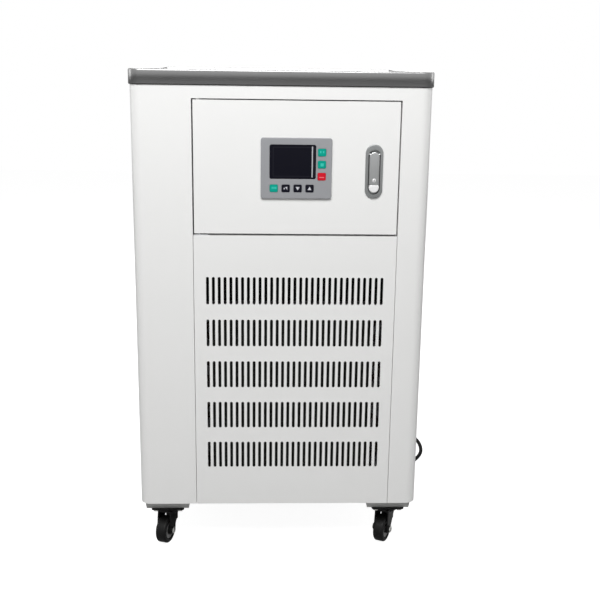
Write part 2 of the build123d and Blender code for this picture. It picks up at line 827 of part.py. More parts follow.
def make_reservoir_tank():
    """Stainless vessel with a closed top, filler neck and the stubs of its three ports."""
    bottom = high(shelf_height + sheet)
    top = bottom + tank_height
    tank = post(tank_x, tank_y, tank_radius, bottom, top)
    tank += post(tank_x, tank_y, neck_radius + tank_sheet, top - 1, high(deck + 2))
    for z in (port_z, drain_z):
        tank += bar_y(tank_x, tank_y + 50, cabinet_depth - tail_length, high(z), nipple_radius)
    tank += post(pump_feed_x, pump_feed_y, feed_radius, feed_end, bottom + 1)
    tank -= post(tank_x, tank_y, tank_radius - tank_sheet, bottom + tank_sheet, top - tank_sheet)
    tank -= post(tank_x, tank_y, neck_radius, top - 2 * tank_sheet, high(deck + 3))
    for z in (port_z, drain_z):
        tank -= bar_y(tank_x, tank_y, cabinet_depth, high(z), nipple_radius - 2)
    tank -= post(pump_feed_x, pump_feed_y, feed_radius - 2, feed_end - 1, bottom + 10)
    for x in (coil_in_x, coil_out_x):
        tank -= post(x, tank_y, coil_tube_radius, bottom - 1, bottom + 10)
    return tank


def make_tank_shelf():
    """Folded shelf between the refrigeration plant and the reservoir."""
    low = shelf_height - shelf_flange
    shelf = fitted_pan(
        shelf_front, sheet, high(low), high(shelf_height + sheet), high(low - 1), high(shelf_height)
    )
    holes = [(coil_in_x, tank_y, 7), (coil_out_x, tank_y, 8), (pump_feed_x, pump_feed_y, feed_radius + 1)]
    holes.append((outlet_x, pump_outlet_y, feed_radius + 1))
    for x, y, radius in holes:
        shelf -= post(x, y, radius, high(shelf_height - 1), high(shelf_height + sheet + 1))
    return shelf


def evaporator_route():
    """Corners of the reservoir's coil: square turns that rise, with both ends down through the floor."""
    reach = 0.59 * tank_radius + 0.05
    start = feed_end
    low = high(shelf_height + 24)
    points = [(coil_in_x, tank_y, start), (coil_in_x, tank_y, low), (tank_x - reach, tank_y + reach, low)]
    rise = 1.3 * coil_tube_radius
    corners = [(reach, reach), (reach, -reach), (-reach, -reach), (-reach, reach)]
    height = low
    for step in range(round((tank_height - 129.5) / rise)):
        dx, dy = corners[step % 4]
        height += rise
        points.append((tank_x + dx, tank_y + dy, height))
    points.append((coil_out_x, tank_y, height + rise))
    points.append((coil_out_x, tank_y, start))
    return points


def make_lines():
    """Copper lines of the cooling circuit, as node name to its list of (points, radius, bend)."""
    top_row = tube_z(tube_rows - 1)
    drier_high = drier_low + drier_length
    run = high(shelf_height - 60)
    return {
        "discharge_line": [
            ([(discharge_x, compressor_y, compressor_stub_top), (discharge_x, compressor_y, top_row),
              (discharge_x, line_y, top_row)], tube_radius, 25),
        ],
        "liquid_line": [
            ([(discharge_x, line_y, tube_z(0)), (discharge_x, drier_y, tube_z(0)), (drier_x, drier_y, tube_z(0)),
              (drier_x, drier_y, drier_low)], 4, 20),
            ([(drier_x, drier_y, drier_high), (drier_x, drier_y, run), (drier_x, tank_y, run),
              (coil_in_x, tank_y, run), (coil_in_x, tank_y, feed_end)], 4, 12),
        ],
        "suction_line": [
            ([(coil_out_x, tank_y, feed_end), (coil_out_x, tank_y, run - 20), (suction_x, tank_y, run - 20),
              (suction_x, compressor_y, compressor_stub_top)], 6, 20),
        ],
    }


def make_circulation_pump():
    """Motor, volute, foot and the inlet and outlet stubs of the pump."""
    middle = high(pump_z)
    half = pump_foot_width / 2
    foot_top = high(base_sheet + pump_foot_sheet)
    start = pump_front + pump_inlet / 2
    pump = bar_y(pump_x, pump_front, pump_back, middle, pump_radius)
    pump += bar_y(pump_x, volute_front, pump_front + 1, middle, pump_radius + volute_step)
    pump += bar_y(pump_x, volute_front - pump_inlet, volute_front + 1, middle, feed_radius)
    pump += post(outlet_x, pump_outlet_y, feed_radius, middle, pump_outlet_top)
    pump += block(pump_x - half, pump_x + half, start, start + 80, high(base_sheet), foot_top)
    return pump + block(pump_x - half * 0.6, pump_x + half * 0.6, start + 5, start + 75, high(base_sheet), middle)


def make_hoses():
    """Rubber hoses of the water circuit, as node name to its points."""
    middle = high(pump_z)
    turn = high(shelf_height - 130)
    bend = pump_feed_bend
    suction = [(pump_feed_x, pump_feed_y, feed_end), (pump_feed_x, pump_feed_y, turn), (pump_feed_x, bend, turn)]
    suction += [(pump_x, bend, turn), (pump_x, bend, middle), (pump_x, volute_front - pump_inlet, middle)]
    delivery = [(outlet_x, pump_outlet_y, pump_outlet_top), (outlet_x, pump_outlet_y, high(port_z))]
    delivery.append((outlet_x, cabinet_depth - tail_length, high(port_z)))
    return {"suction_hose": suction, "delivery_hose": delivery}


def make_hose_nipple(x, z):
    """Threaded fitting through the rear panel with a plain hose spigot."""
    outside = cabinet_depth + rear_sheet
    nipple = bar_y(x, cabinet_depth - tail_length, outside + nipple_reach, high(z), nipple_radius)
    nipple += front_plate(RegularPolygon(1.625 * nipple_radius, 6), x, high(z), outside, outside + nut_length)
    return nipple - bar_y(x, cabinet_depth - tail_length - 1, outside + nipple_reach + 1, high(z), nipple_radius - 2.5)


def make_drain_valve():
    """Ball valve body on the rear panel with its stem hole on top."""
    outside = cabinet_depth + rear_sheet
    valve = bar_y(tank_x, cabinet_depth - tail_length, outside + 4, high(drain_z), nipple_radius)
    valve += bar_y(tank_x, outside, outside + 26, high(drain_z), 11)
    valve += bar_y(tank_x, outside + 25, outside + drain_reach, high(drain_z), drain_radius)
    valve += post(tank_x, outside + 14, 7, high(drain_z), high(drain_z + 15))
    end = outside + drain_reach + 1
    valve -= bar_y(tank_x, cabinet_depth - tail_length - 1, end, high(drain_z), drain_radius - 2)
    return valve - post(tank_x, outside + 14, stem_radius + running, high(drain_z + 9), high(drain_z + 16))


def make_drain_lever():
    """Flat lever on the valve's stem, along the spigot when open and across it when shut."""
    outside = cabinet_depth + rear_sheet
    top = high(drain_z + 15 + slide_clearance)
    lever = post(tank_x, outside + 14, stem_radius, high(drain_z + 9 + slide_clearance), top)
    lever += post(tank_x, outside + 14, 8, top, top + 3)
    arm = flat_plate(RectangleRounded(50, 12, 5.5), tank_x + 22, outside + 14, top, top + 3)
    return lever + arm


def make_electrics_plate():
    """Upright plate behind the door, with a foot on the shelf."""
    foot = high(shelf_height + sheet)
    back = electrics_y + sheet
    plate = block(electrics_left, electrics_right, electrics_y, back, foot, high(shell_top - electrics_foot))
    front = electrics_y - electrics_foot
    return plate + block(electrics_left, electrics_right, front, electrics_y + 1, foot, foot + sheet)


def make_contactor():
    """Moulded contactor with a raised middle."""
    left = electrics_left + contactor_left
    right = left + contactor_width
    low = shelf_height + contactor_raise
    top = low + contactor_height
    front = electrics_y - contactor_depth
    base = block(left, right, front, electrics_y, high(low), high(top))
    step = contactor_height * 0.19
    cover_front = front - contactor_step
    inset = contactor_inset
    return base + block(left + inset, right - inset, cover_front, front + 1, high(low + step), high(top - step))


def make_transformer():
    """Laminated core with its winding bobbin."""
    right = electrics_right - core_right
    left = right - core_width
    low = shelf_height + core_raise
    top = low + core_height
    front = electrics_y - core_depth
    core = block(left, right, front, electrics_y, high(low), high(top))
    for x in (left + core_leg, right - 2 * core_leg):
        core -= block(x, x + core_leg, front - 1, electrics_y + 1, high(low + core_leg), high(top - core_leg))
    inset = core_leg + 2
    winding_front = front - winding_proud
    return core + block(left + inset, right - inset, winding_front, front + 16, high(low + inset), high(top - inset))


def make_filler_cap():
    """Plug cap with a grip bar, lower than the rim."""
    seat = high(deck + 2)
    top = seat + cap_sheet
    cap = post(tank_x, tank_y, neck_radius - slide_clearance, seat - cap_plug, seat)
    cap += post(tank_x, tank_y, neck_radius + cap_flange, seat, top)
    grip = 0.8 * neck_radius
    return cap + block(tank_x - grip, tank_x + grip, tank_y - cap_sheet, tank_y + cap_sheet, top, top + cap_flange)


def make_cord_gland():
    """Cable gland through the rear panel, with a tapered sleeve round the cord."""
    outside = cabinet_depth + rear_sheet
    gland = bar_y(gland_x, cabinet_depth - 12, outside + 1, high(gland_z), gland_thread_radius)
    gland += front_plate(RegularPolygon(12, 6), gland_x, high(gland_z), outside, outside + 8)
    cone = Pos(gland_x, deep(outside + 8 + 13), high(gland_z)) * Rot(-90, 0, 0) * Cone(10, 6, 26)
    return gland + cone - bar_y(gland_x, cabinet_depth - 13, outside + 35, high(gland_z), cord_radius)


def cord_route():
    """The points that the cord follows, from the gland to its coil: x, depth and height."""
    exit_height = high(gland_z)
    turns = [
        (0, 12, exit_height),
        (0, 57, exit_height),
        (1, 98, exit_height - 8),
        (4, 130, exit_height - 34),
        (9, 148, exit_height - 75),
        (20, 155, exit_height - 116),
        (46, 152, 12),
        (86, 132, cord_radius),
        (123, 94, cord_radius),
        (146, 46, cord_radius),
        (154, -6, cord_radius),
        (146, -60, cord_radius),
        (116, -108, cord_radius),
        (68, -144, cord_radius),
        (10, -160, cord_radius),
        (-48, -148, cord_radius),
        (-84, -106, cord_radius),
        (-98, -50, cord_radius),
        (-100, 8, cord_radius),
        (-102, 64, cord_radius),
    ]
    route = [(gland_x + dx, cabinet_depth + dy, z) for dx, dy, z in turns]
    return route + [(coil_outer_lane, coil_y, cord_radius)]


def route_radii(points):
    """For each corner of a route, 0.45 of the shorter run over the tangent of half the turn."""
    radii = []
    for before, corner, after in zip(points, points[1:], points[2:]):
        first = corner - before
        second = after - corner
        turn = math.radians(first.get_angle(second))
        radii.append(0.45 * min(first.length, second.length) / math.tan(turn / 2))
    return radii


def make_cord_tube(route, name):
    """Round cord of straight runs and the largest arcs that they allow."""
    points = [Vector(x, deep(y), z) for x, y, z in route]
    radii = route_radii(points)
    path = FilletPolyline(*points, radius=radii)
    start = Plane(origin=path @ 0, z_dir=path % 0)
    tube = sweep(start * Circle(cord_radius), path=path)
    expected = math.pi * cord_radius**2 * path.length
    print(name, "length", round(path.length, 1), "smallest arc", round(min(radii), 1))
    print(name, "volume over expected", round(tube.volume / expected, 4))
    return tube


def make_cord_coil():
    """Outer shape of the neat round coil, lying on the floor."""
    half = coil_lanes * cord_radius
    height = coil_layers * 2 * cord_radius
    ring = post(coil_x, coil_y, coil_mean_radius + half, 0, height)
    return ring - post(coil_x, coil_y, coil_mean_radius - half, -1, height + 1)


def make_power_plug():
    """Moulded plug with three flat blades, lying beside the coil."""
    x = coil_outer_lane
    y = plug_y
    sleeve = Pos(x, deep(y + 12), plug_z) * Rot(-90, 0, 0) * Cone(5, 8, 24)
    body = front_plate(RectangleRounded(36, 24, 7), x, plug_z, y + 23, y + 58)
    body = fillet(body.faces().sort_by(Axis.Y)[0].edges(), 5)
    plug = sleeve + body
    for dx in (-9, 9):
        plug += block(x + dx - 0.8, x + dx + 0.8, y + 57, y + 76, plug_z - 3, plug_z + 3)
    return plug + block(x - 3, x + 3, y + 57, y + 79, plug_z + 5, plug_z + 6.6)


os.makedirs("parts", exist_ok=True)

save("cabinet_shell", make_cabinet_shell())
save("rear_panel", make_rear_panel())
save("front_grille_panel", make_front_grille_panel())
save("top_tray", make_top_tray())
save("base_pan", make_base_pan())
save("left_caster_rail", make_caster_rail(-1))
save("right_caster_rail", make_caster_rail(1))
save("cross_rail", make_cross_rail())
save("upper_hinge_pin", make_upper_hinge_pin())
save("caster_plates", Compound(children=[make_caster_plate(name) for name in swivel_angles]))
for name in swivel_angles:
    save(name + "_caster_fork", make_caster_fork(name))
    save(name + "_caster_wheel", make_caster_wheel(name))

save("door_panel", make_door_panel())
save("controller_housing", make_controller_housing())
save("display_window", make_display_window())
for name, (x, z) in key_places().items():
    save(name, make_key(x, z))
save("latch_housing", make_latch_housing())
save("latch_handle", make_latch_handle())
save("latch_button", make_latch_button())
save("latch_tongue", make_latch_tongue())

save("condenser_fins", make_condenser_fins())
save("condenser_tubes", make_condenser_tubes())
save("fan_shroud", make_fan_shroud())
save("fan_motor", make_fan_motor())
save("fan", make_fan())
save("compressor", make_compressor())
save("compressor_grommets", make_compressor_grommets())
drier = post(drier_x, drier_y, drier_radius, drier_low, drier_low + drier_length)
save("filter_drier", fillet(drier.edges(), 6))
for name, stretches in make_lines().items():
    tubes = [bent_tube(points, radius, bend) for points, radius, bend in stretches]
    save(name, tubes[0] if len(tubes) == 1 else Compound(children=tubes))
save("tank_shelf", make_tank_shelf())
save("reservoir_tank", make_reservoir_tank())
save("evaporator_coil", bent_tube(evaporator_route(), coil_tube_radius, 18))
save("filler_cap", make_filler_cap())
save("circulation_pump", make_circulation_pump())
for name, points in make_hoses().items():
    save(name, bent_tube(points, feed_radius, 22))
save("hose_nipples", Compound(children=[make_hose_nipple(x, port_z) for x in (outlet_x, tank_x)]))
save("drain_valve", make_drain_valve())
save("drain_lever", make_drain_lever())
save("electrics_plate", make_electrics_plate())
save("contactor", make_contactor())
save("transformer", make_transformer())

save("cord_gland", make_cord_gland())
save("power_cord", make_cord_tube(cord_route(), "power cord"))
save("power_cord_coil", make_cord_coil())
save("power_plug", make_power_plug())
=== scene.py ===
import math

import bmesh
import bpy
from mathutils import Matrix, Vector


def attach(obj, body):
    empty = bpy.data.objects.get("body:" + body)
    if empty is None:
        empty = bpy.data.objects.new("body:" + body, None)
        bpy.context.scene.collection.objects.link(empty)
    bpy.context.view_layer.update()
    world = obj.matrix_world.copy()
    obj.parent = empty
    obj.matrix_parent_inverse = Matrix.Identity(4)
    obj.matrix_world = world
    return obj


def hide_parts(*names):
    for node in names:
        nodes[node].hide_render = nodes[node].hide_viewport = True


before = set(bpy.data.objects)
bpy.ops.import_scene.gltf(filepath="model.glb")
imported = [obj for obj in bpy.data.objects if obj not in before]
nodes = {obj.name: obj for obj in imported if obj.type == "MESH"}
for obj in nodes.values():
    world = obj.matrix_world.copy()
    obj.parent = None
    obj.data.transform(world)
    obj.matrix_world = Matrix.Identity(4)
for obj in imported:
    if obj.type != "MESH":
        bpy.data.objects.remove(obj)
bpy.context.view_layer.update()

# The camera stands where the photograph was taken: about 1.6 m in front of the door and just
# above the top, looking down by 14 degrees, with the lens that gives the photograph's frame.
lens = bpy.data.cameras.new("Photograph viewpoint")
lens.sensor_width = 36
lens.lens = 56.7
camera = bpy.data.objects.new("Photograph viewpoint", lens)
bpy.context.scene.collection.objects.link(camera)
pitch, yaw, roll = (math.radians(angle) for angle in (14.051, 2.241, -0.780))
forward = Vector((math.sin(yaw) * math.cos(pitch), math.cos(yaw) * math.cos(pitch), -math.sin(pitch)))
level = Vector((math.cos(yaw), -math.sin(yaw), 0))
down = forward.cross(level)
across = level * math.cos(roll) + down * math.sin(roll)
below = down * math.cos(roll) - level * math.sin(roll)
axes = Matrix((across, -below, -forward)).transposed().to_4x4()
standpoint = (-0.0279, -1.8528, 0.8768)
camera.matrix_world = Matrix.Translation(standpoint) @ axes
bpy.context.scene.camera = camera
bpy.context.scene.view_settings.view_transform = "Standard"

# The studio floor is one wide pale sheet that the chiller stands on. It looks white from the
# camera, and it still takes the soft shadow under the cabinet.
floor_half = 6.0
floor_grey = 0.5
floor_white = 0.92
shape = bmesh.new()
bmesh.ops.create_grid(shape, x_segments=8, y_segments=8, size=floor_half)
floor_mesh = bpy.data.meshes.new("studio_floor")
shape.to_mesh(floor_mesh)
shape.free()
floor = bpy.data.objects.new("studio_floor", floor_mesh)
bpy.context.scene.collection.objects.link(floor)
pale = bpy.data.materials.new("Pale studio floor")
pale.use_nodes = True
tree = pale.node_tree
tree.nodes.clear()
output = tree.nodes.new("ShaderNodeOutputMaterial")
matt = tree.nodes.new("ShaderNodeBsdfDiffuse")
matt.inputs["Color"].default_value = (floor_grey, floor_grey, floor_grey, 1)
lift = tree.nodes.new("ShaderNodeEmission")
lift.inputs["Color"].default_value = (1, 1, 1, 1)
rays = tree.nodes.new("ShaderNodeLightPath")
seen = tree.nodes.new("ShaderNodeMath")
seen.operation = "MAXIMUM"
shared = tree.nodes.new("ShaderNodeMath")
shared.operation = "MULTIPLY"
shared.inputs[1].default_value = floor_white
both = tree.nodes.new("ShaderNodeAddShader")
tree.links.new(rays.outputs["Is Camera Ray"], seen.inputs[0])
tree.links.new(rays.outputs["Is Transmission Ray"], seen.inputs[1])
tree.links.new(seen.outputs[0], shared.inputs[0])
tree.links.new(shared.outputs[0], lift.inputs["Strength"])
tree.links.new(matt.outputs[0], both.inputs[0])
tree.links.new(lift.outputs[0], both.inputs[1])
tree.links.new(both.outputs[0], output.inputs["Surface"])
floor_mesh.materials.append(pale)

# The studio's walls are white where the camera, metal or glass sees them, and light all else
# only softly. One large softbox hangs high in front of the door, and three weaker ones stand at
# the sides and behind.
wall_light = 0.12
world = bpy.data.worlds.new("White studio")
bpy.context.scene.world = world
world.use_nodes = True
tree = world.node_tree
tree.nodes.clear()
output = tree.nodes.new("ShaderNodeOutputWorld")
walls = tree.nodes.new("ShaderNodeBackground")
walls.inputs["Color"].default_value = (1, 1, 1, 1)
rays = tree.nodes.new("ShaderNodeLightPath")
first = tree.nodes.new("ShaderNodeMath")
first.operation = "MAXIMUM"
seen = tree.nodes.new("ShaderNodeMath")
seen.operation = "MAXIMUM"
level_of_light = tree.nodes.new("ShaderNodeMapRange")
level_of_light.inputs["To Min"].default_value = wall_light
level_of_light.inputs["To Max"].default_value = 1.0
tree.links.new(rays.outputs["Is Camera Ray"], first.inputs[0])
tree.links.new(rays.outputs["Is Transmission Ray"], first.inputs[1])
tree.links.new(first.outputs[0], seen.inputs[0])
tree.links.new(rays.outputs["Is Glossy Ray"], seen.inputs[1])
tree.links.new(seen.outputs[0], level_of_light.inputs["Value"])
tree.links.new(level_of_light.outputs["Result"], walls.inputs["Strength"])
tree.links.new(walls.outputs[0], output.inputs["Surface"])
softboxes = [
    ("Front softbox", (-0.2, -1.75, 2.3), (0, -0.1, 0.75), (1.6, 1.1), 60),
    ("Left softbox", (-2.4, 0.3, 1.2), (0, 0, 0.5), (0.7, 1.6), 9),
    ("Right softbox", (2.4, 0.3, 1.2), (0, 0, 0.5), (0.7, 1.6), 9),
    ("Rear softbox", (0.2, 2.5, 1.9), (0, 0.2, 0.6), (1.6, 1.1), 36),
]
for name, place_of_light, target, size, power in softboxes:
    lamp = bpy.data.lights.new(name, "AREA")
    lamp.shape = "RECTANGLE"
    lamp.size, lamp.size_y = size
    lamp.energy = power
    holder = bpy.data.objects.new(name, lamp)
    bpy.context.scene.collection.objects.link(holder)
    holder.location = place_of_light
    aim = Vector(target) - Vector(place_of_light)
    holder.rotation_euler = aim.to_track_quat("-Z", "Y").to_euler()

# The cabinet is one sheet of mild steel bent round the front and both sides, with a bolted back,
# a hung door and a slotted lower panel, all in smooth semi-gloss white powder coat.
def effect(name, inputs, outputs):
    """Starts a shader node group with named sockets, and returns it with its two ends."""
    group = bpy.data.node_groups.new(name, "ShaderNodeTree")
    for label, kind, value in inputs:
        socket = group.interface.new_socket(label, in_out="INPUT", socket_type=kind)
        socket.default_value = value
    for label, kind in outputs:
        group.interface.new_socket(label, in_out="OUTPUT", socket_type=kind)
    return group, group.nodes.new("NodeGroupInput"), group.nodes.new("NodeGroupOutput")


fine_grain, start, end = effect(
    "Fine grain",
    [("Scale", "NodeSocketFloat", 400), ("Stretch", "NodeSocketVector", (1, 1, 1))],
    [("Grain", "NodeSocketFloat"), ("Mottle", "NodeSocketFloat")],
)
where = fine_grain.nodes.new("ShaderNodeTexCoord")
pull = fine_grain.nodes.new("ShaderNodeVectorMath")
pull.operation = "MULTIPLY"
fine = fine_grain.nodes.new("ShaderNodeTexNoise")
fine.inputs["Detail"].default_value = 4
broad = fine_grain.nodes.new("ShaderNodeTexNoise")
broad.inputs["Scale"].default_value = 7
broad.inputs["Detail"].default_value = 3
fine_grain.links.new(where.outputs["Object"], pull.inputs[0])
fine_grain.links.new(start.outputs["Stretch"], pull.inputs[1])
fine_grain.links.new(pull.outputs[0], fine.inputs["Vector"])
fine_grain.links.new(start.outputs["Scale"], fine.inputs["Scale"])
fine_grain.links.new(where.outputs["Object"], broad.inputs["Vector"])
fine_grain.links.new(fine.outputs["Fac"], end.inputs["Grain"])
fine_grain.links.new(broad.outputs["Fac"], end.inputs["Mottle"])

edge_wear, start, end = effect(
    "Edge wear",
    [
        ("Reach", "NodeSocketFloat", 0.001),
        ("Break-up", "NodeSocketFloat", 120),
        ("Amount", "NodeSocketFloat", 0.5),
    ],
    [("Mask", "NodeSocketFloat")],
)
softened = edge_wear.nodes.new("ShaderNodeBevel")
softened.samples = 4
true_shape = edge_wear.nodes.new("ShaderNodeNewGeometry")
agree = edge_wear.nodes.new("ShaderNodeVectorMath")
agree.operation = "DOT_PRODUCT"
edge = edge_wear.nodes.new("ShaderNodeMapRange")
edge.inputs["From Min"].default_value = 0.98
edge.inputs["From Max"].default_value = 0.8
where = edge_wear.nodes.new("ShaderNodeTexCoord")
patches = edge_wear.nodes.new("ShaderNodeTexNoise")
patches.inputs["Detail"].default_value = 5
broken = edge_wear.nodes.new("ShaderNodeMapRange")
broken.inputs["From Min"].default_value = 0.42
broken.inputs["From Max"].default_value = 0.66
rubbed = edge_wear.nodes.new("ShaderNodeMath")
rubbed.operation = "MULTIPLY"
scaled = edge_wear.nodes.new("ShaderNodeMath")
scaled.operation = "MULTIPLY"
edge_wear.links.new(start.outputs["Reach"], softened.inputs["Radius"])
edge_wear.links.new(softened.outputs["Normal"], agree.inputs[0])
edge_wear.links.new(true_shape.outputs["True Normal"], agree.inputs[1])
edge_wear.links.new(agree.outputs["Value"], edge.inputs["Value"])
edge_wear.links.new(where.outputs["Object"], patches.inputs["Vector"])
edge_wear.links.new(start.outputs["Break-up"], patches.inputs["Scale"])
edge_wear.links.new(patches.outputs["Fac"], broken.inputs["Value"])
edge_wear.links.new(edge.outputs["Result"], rubbed.inputs[0])
edge_wear.links.new(broken.outputs["Result"], rubbed.inputs[1])
edge_wear.links.new(rubbed.outputs[0], scaled.inputs[0])
edge_wear.links.new(start.outputs["Amount"], scaled.inputs[1])
edge_wear.links.new(scaled.outputs[0], end.inputs["Mask"])

settled_dust, start, end = effect(
    "Settled dust",
    [("Amount", "NodeSocketFloat", 0.2), ("Scale", "NodeSocketFloat", 60)],
    [("Mask", "NodeSocketFloat")],
)
facing = settled_dust.nodes.new("ShaderNodeNewGeometry")
split = settled_dust.nodes.new("ShaderNodeSeparateXYZ")
upward = settled_dust.nodes.new("ShaderNodeMapRange")
upward.inputs["From Min"].default_value = 0.4
upward.inputs["From Max"].default_value = 0.95
where = settled_dust.nodes.new("ShaderNodeTexCoord")
specks = settled_dust.nodes.new("ShaderNodeTexNoise")
specks.inputs["Detail"].default_value = 8
thick = settled_dust.nodes.new("ShaderNodeMath")
thick.operation = "MULTIPLY"
kept = settled_dust.nodes.new("ShaderNodeMath")
kept.operation = "MULTIPLY"
settled_dust.links.new(facing.outputs["Normal"], split.inputs[0])
settled_dust.links.new(split.outputs["Z"], upward.inputs["Value"])
settled_dust.links.new(where.outputs["Object"], specks.inputs["Vector"])
settled_dust.links.new(start.outputs["Scale"], specks.inputs["Scale"])
settled_dust.links.new(upward.outputs["Result"], thick.inputs[0])
settled_dust.links.new(specks.outputs["Fac"], thick.inputs[1])
settled_dust.links.new(thick.outputs[0], kept.inputs[0])
settled_dust.links.new(start.outputs["Amount"], kept.inputs[1])
settled_dust.links.new(kept.outputs[0], end.inputs["Mask"])


def tinted(tree, below, above, mask):
    """Lays one colour over another where a mask says so, and returns the mixed colour."""
    mix = tree.nodes.new("ShaderNodeMix")
    mix.data_type = "RGBA"
    if isinstance(below, tuple):
        mix.inputs[6].default_value = (*below, 1)
    else:
        tree.links.new(below, mix.inputs[6])
    mix.inputs[7].default_value = (*above, 1)
    tree.links.new(mask, mix.inputs[0])
    return mix.outputs[2]


def finish(name, colour, roughness, metallic=0.0, grain=400, stretch=(1, 1, 1), relief=0.00001,
           tone=0.03, spread=0.04, worn=None, dust=0.0, gloss=0.5):
    """A surface with grain, uneven tone and sheen; worn is the rubbed colour, reach and amount."""
    dust_colour = (0.42, 0.40, 0.37)
    material = bpy.data.materials.new(name)
    material.use_nodes = True
    material.diffuse_color = (*colour, 1)
    tree = material.node_tree
    surface = tree.nodes["Principled BSDF"]
    surface.inputs["Metallic"].default_value = metallic
    surface.inputs["Specular IOR Level"].default_value = gloss
    texture = tree.nodes.new("ShaderNodeGroup")
    texture.node_tree = fine_grain
    texture.inputs["Scale"].default_value = grain
    texture.inputs["Stretch"].default_value = stretch
    dark = tuple(part * (1 - tone) for part in colour)
    light = tuple(min(part * (1 + tone), 1) for part in colour)
    painted = tinted(tree, dark, light, texture.outputs["Mottle"])
    if worn:
        rub = tree.nodes.new("ShaderNodeGroup")
        rub.node_tree = edge_wear
        rub.inputs["Reach"].default_value = worn[1]
        rub.inputs["Amount"].default_value = worn[2]
        painted = tinted(tree, painted, worn[0], rub.outputs["Mask"])
    if dust:
        film = tree.nodes.new("ShaderNodeGroup")
        film.node_tree = settled_dust
        film.inputs["Amount"].default_value = dust
        painted = tinted(tree, painted, dust_colour, film.outputs["Mask"])
    tree.links.new(painted, surface.inputs["Base Color"])
    sheen = tree.nodes.new("ShaderNodeMapRange")
    sheen.inputs["To Min"].default_value = max(roughness - spread, 0.02)
    sheen.inputs["To Max"].default_value = roughness + spread
    tree.links.new(texture.outputs["Mottle" if grain > 900 else "Grain"], sheen.inputs["Value"])
    tree.links.new(sheen.outputs["Result"], surface.inputs["Roughness"])
    raised = tree.nodes.new("ShaderNodeBump")
    raised.inputs["Distance"].default_value = relief
    tree.links.new(texture.outputs["Grain"], raised.inputs["Height"])
    tree.links.new(raised.outputs["Normal"], surface.inputs["Normal"])
    return material


def fitted(piece, body, slot, material, *stands_for):
    """Gives a piece its finish and the body that it rides on; the slot argument is not used."""
    piece.data.materials.clear()
    piece.data.materials.append(material)
    bpy.context.scene.collection.objects.link(piece)
    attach(piece, body)
    if stands_for:
        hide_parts(*stands_for)
    return piece


def folded(node, body, slot, material, radius, segments=2):
    """The node's own folded sheet or casting, with every sharp edge broken to a small radius."""
    weld_distance = 0.000005
    flat_enough = math.radians(0.6)
    mesh = nodes[node].data.copy()
    mesh.name = node + "_finished"
    for attribute in ("custom_normal", "sharp_edge", "sharp_face"):
        if attribute in mesh.attributes:
            mesh.attributes.remove(mesh.attributes[attribute])
    shape = bmesh.new()
    shape.from_mesh(mesh)
    bmesh.ops.remove_doubles(shape, verts=shape.verts, dist=weld_distance)
    bmesh.ops.dissolve_limit(shape, angle_limit=flat_enough, verts=shape.verts, edges=shape.edges)
    for face in shape.faces:
        face.smooth = True
    shape.to_mesh(mesh)
    shape.free()
    piece = bpy.data.objects.new(mesh.name, mesh)
    broken_edge = piece.modifiers.new("Broken edges", "BEVEL")
    broken_edge.width = radius
    broken_edge.segments = segments
    broken_edge.limit_method = "ANGLE"
    broken_edge.angle_limit = math.radians(38)
    broken_edge.harden_normals = True
    return fitted(piece, body, slot, material, node)


powder_coat = finish("White powder coat", (0.86, 0.86, 0.85), 0.34, grain=700, relief=0.000012,
                     tone=0.008, spread=0.03, worn=((0.72, 0.72, 0.70), 0.0012, 0.35), dust=0.05)
folded("cabinet_shell", "cabinet", "white_powder_coat", powder_coat, 0.0006)
folded("rear_panel", "cabinet", "white_powder_coat", powder_coat, 0.0003)
folded("front_grille_panel", "cabinet", "white_powder_coat", powder_coat, 0.0005)
folded("door_panel", "door", "white_powder_coat", powder_coat, 0.0005)

# The panel screws are zinc-plated pan heads with a cross recess. They hold the back panel to the
# shell; the slotted front panel shows none.
def turned(shape, profile, middle, axis, steps=24, recess=None):
    """Adds a form turned round an axis from (radius, distance) pairs, minus for a recess's rings."""
    cross_waist = 0.38
    turn = Vector(axis).normalized().to_track_quat("Z", "Y").to_matrix().to_4x4()
    turn.translation = Vector(middle)
    rings = []
    for radius, distance in profile:
        ring = []
        for step in range(steps):
            angle = 2 * math.pi * step / steps
            reach = radius
            if recess == "cross" and radius < 0:
                reach = -radius * (1 if step % (steps // 4) == 0 else cross_waist)
            if recess == "hex" and radius < 0:
                reach = -radius / math.cos((angle % (math.pi / 3)) - math.pi / 6)
            spot = Vector((abs(reach) * math.cos(angle), abs(reach) * math.sin(angle), distance))
            ring.append(shape.verts.new(turn @ spot))
        rings.append(ring)
    for low, high in zip(rings, rings[1:]):
        for step in range(steps):
            beside = (step + 1) % steps
            shape.faces.new((low[step], low[beside], high[beside], high[step]))
    shape.faces.new(list(reversed(rings[0])))
    shape.faces.new(rings[-1])


def made(name, shape, sharp=35):
    """Turns a finished mesh form into an object with crisp edges over an angle."""
    bmesh.ops.recalc_face_normals(shape, faces=shape.faces)
    mesh = bpy.data.meshes.new(name)
    shape.to_mesh(mesh)
    shape.free()
    mesh.polygons.foreach_set("use_smooth", [True] * len(mesh.polygons))
    mesh.set_sharp_from_angle(angle=math.radians(sharp))
    return bpy.data.objects.new(name, mesh)


front_to_origin = 270.6
ground_gap = 98


def place(x, depth, height):
    """A point in metres, from mm: across, behind the front face, above the cabinet's lower edge."""
    return Vector((x, depth - front_to_origin, height + ground_gap)) / 1000


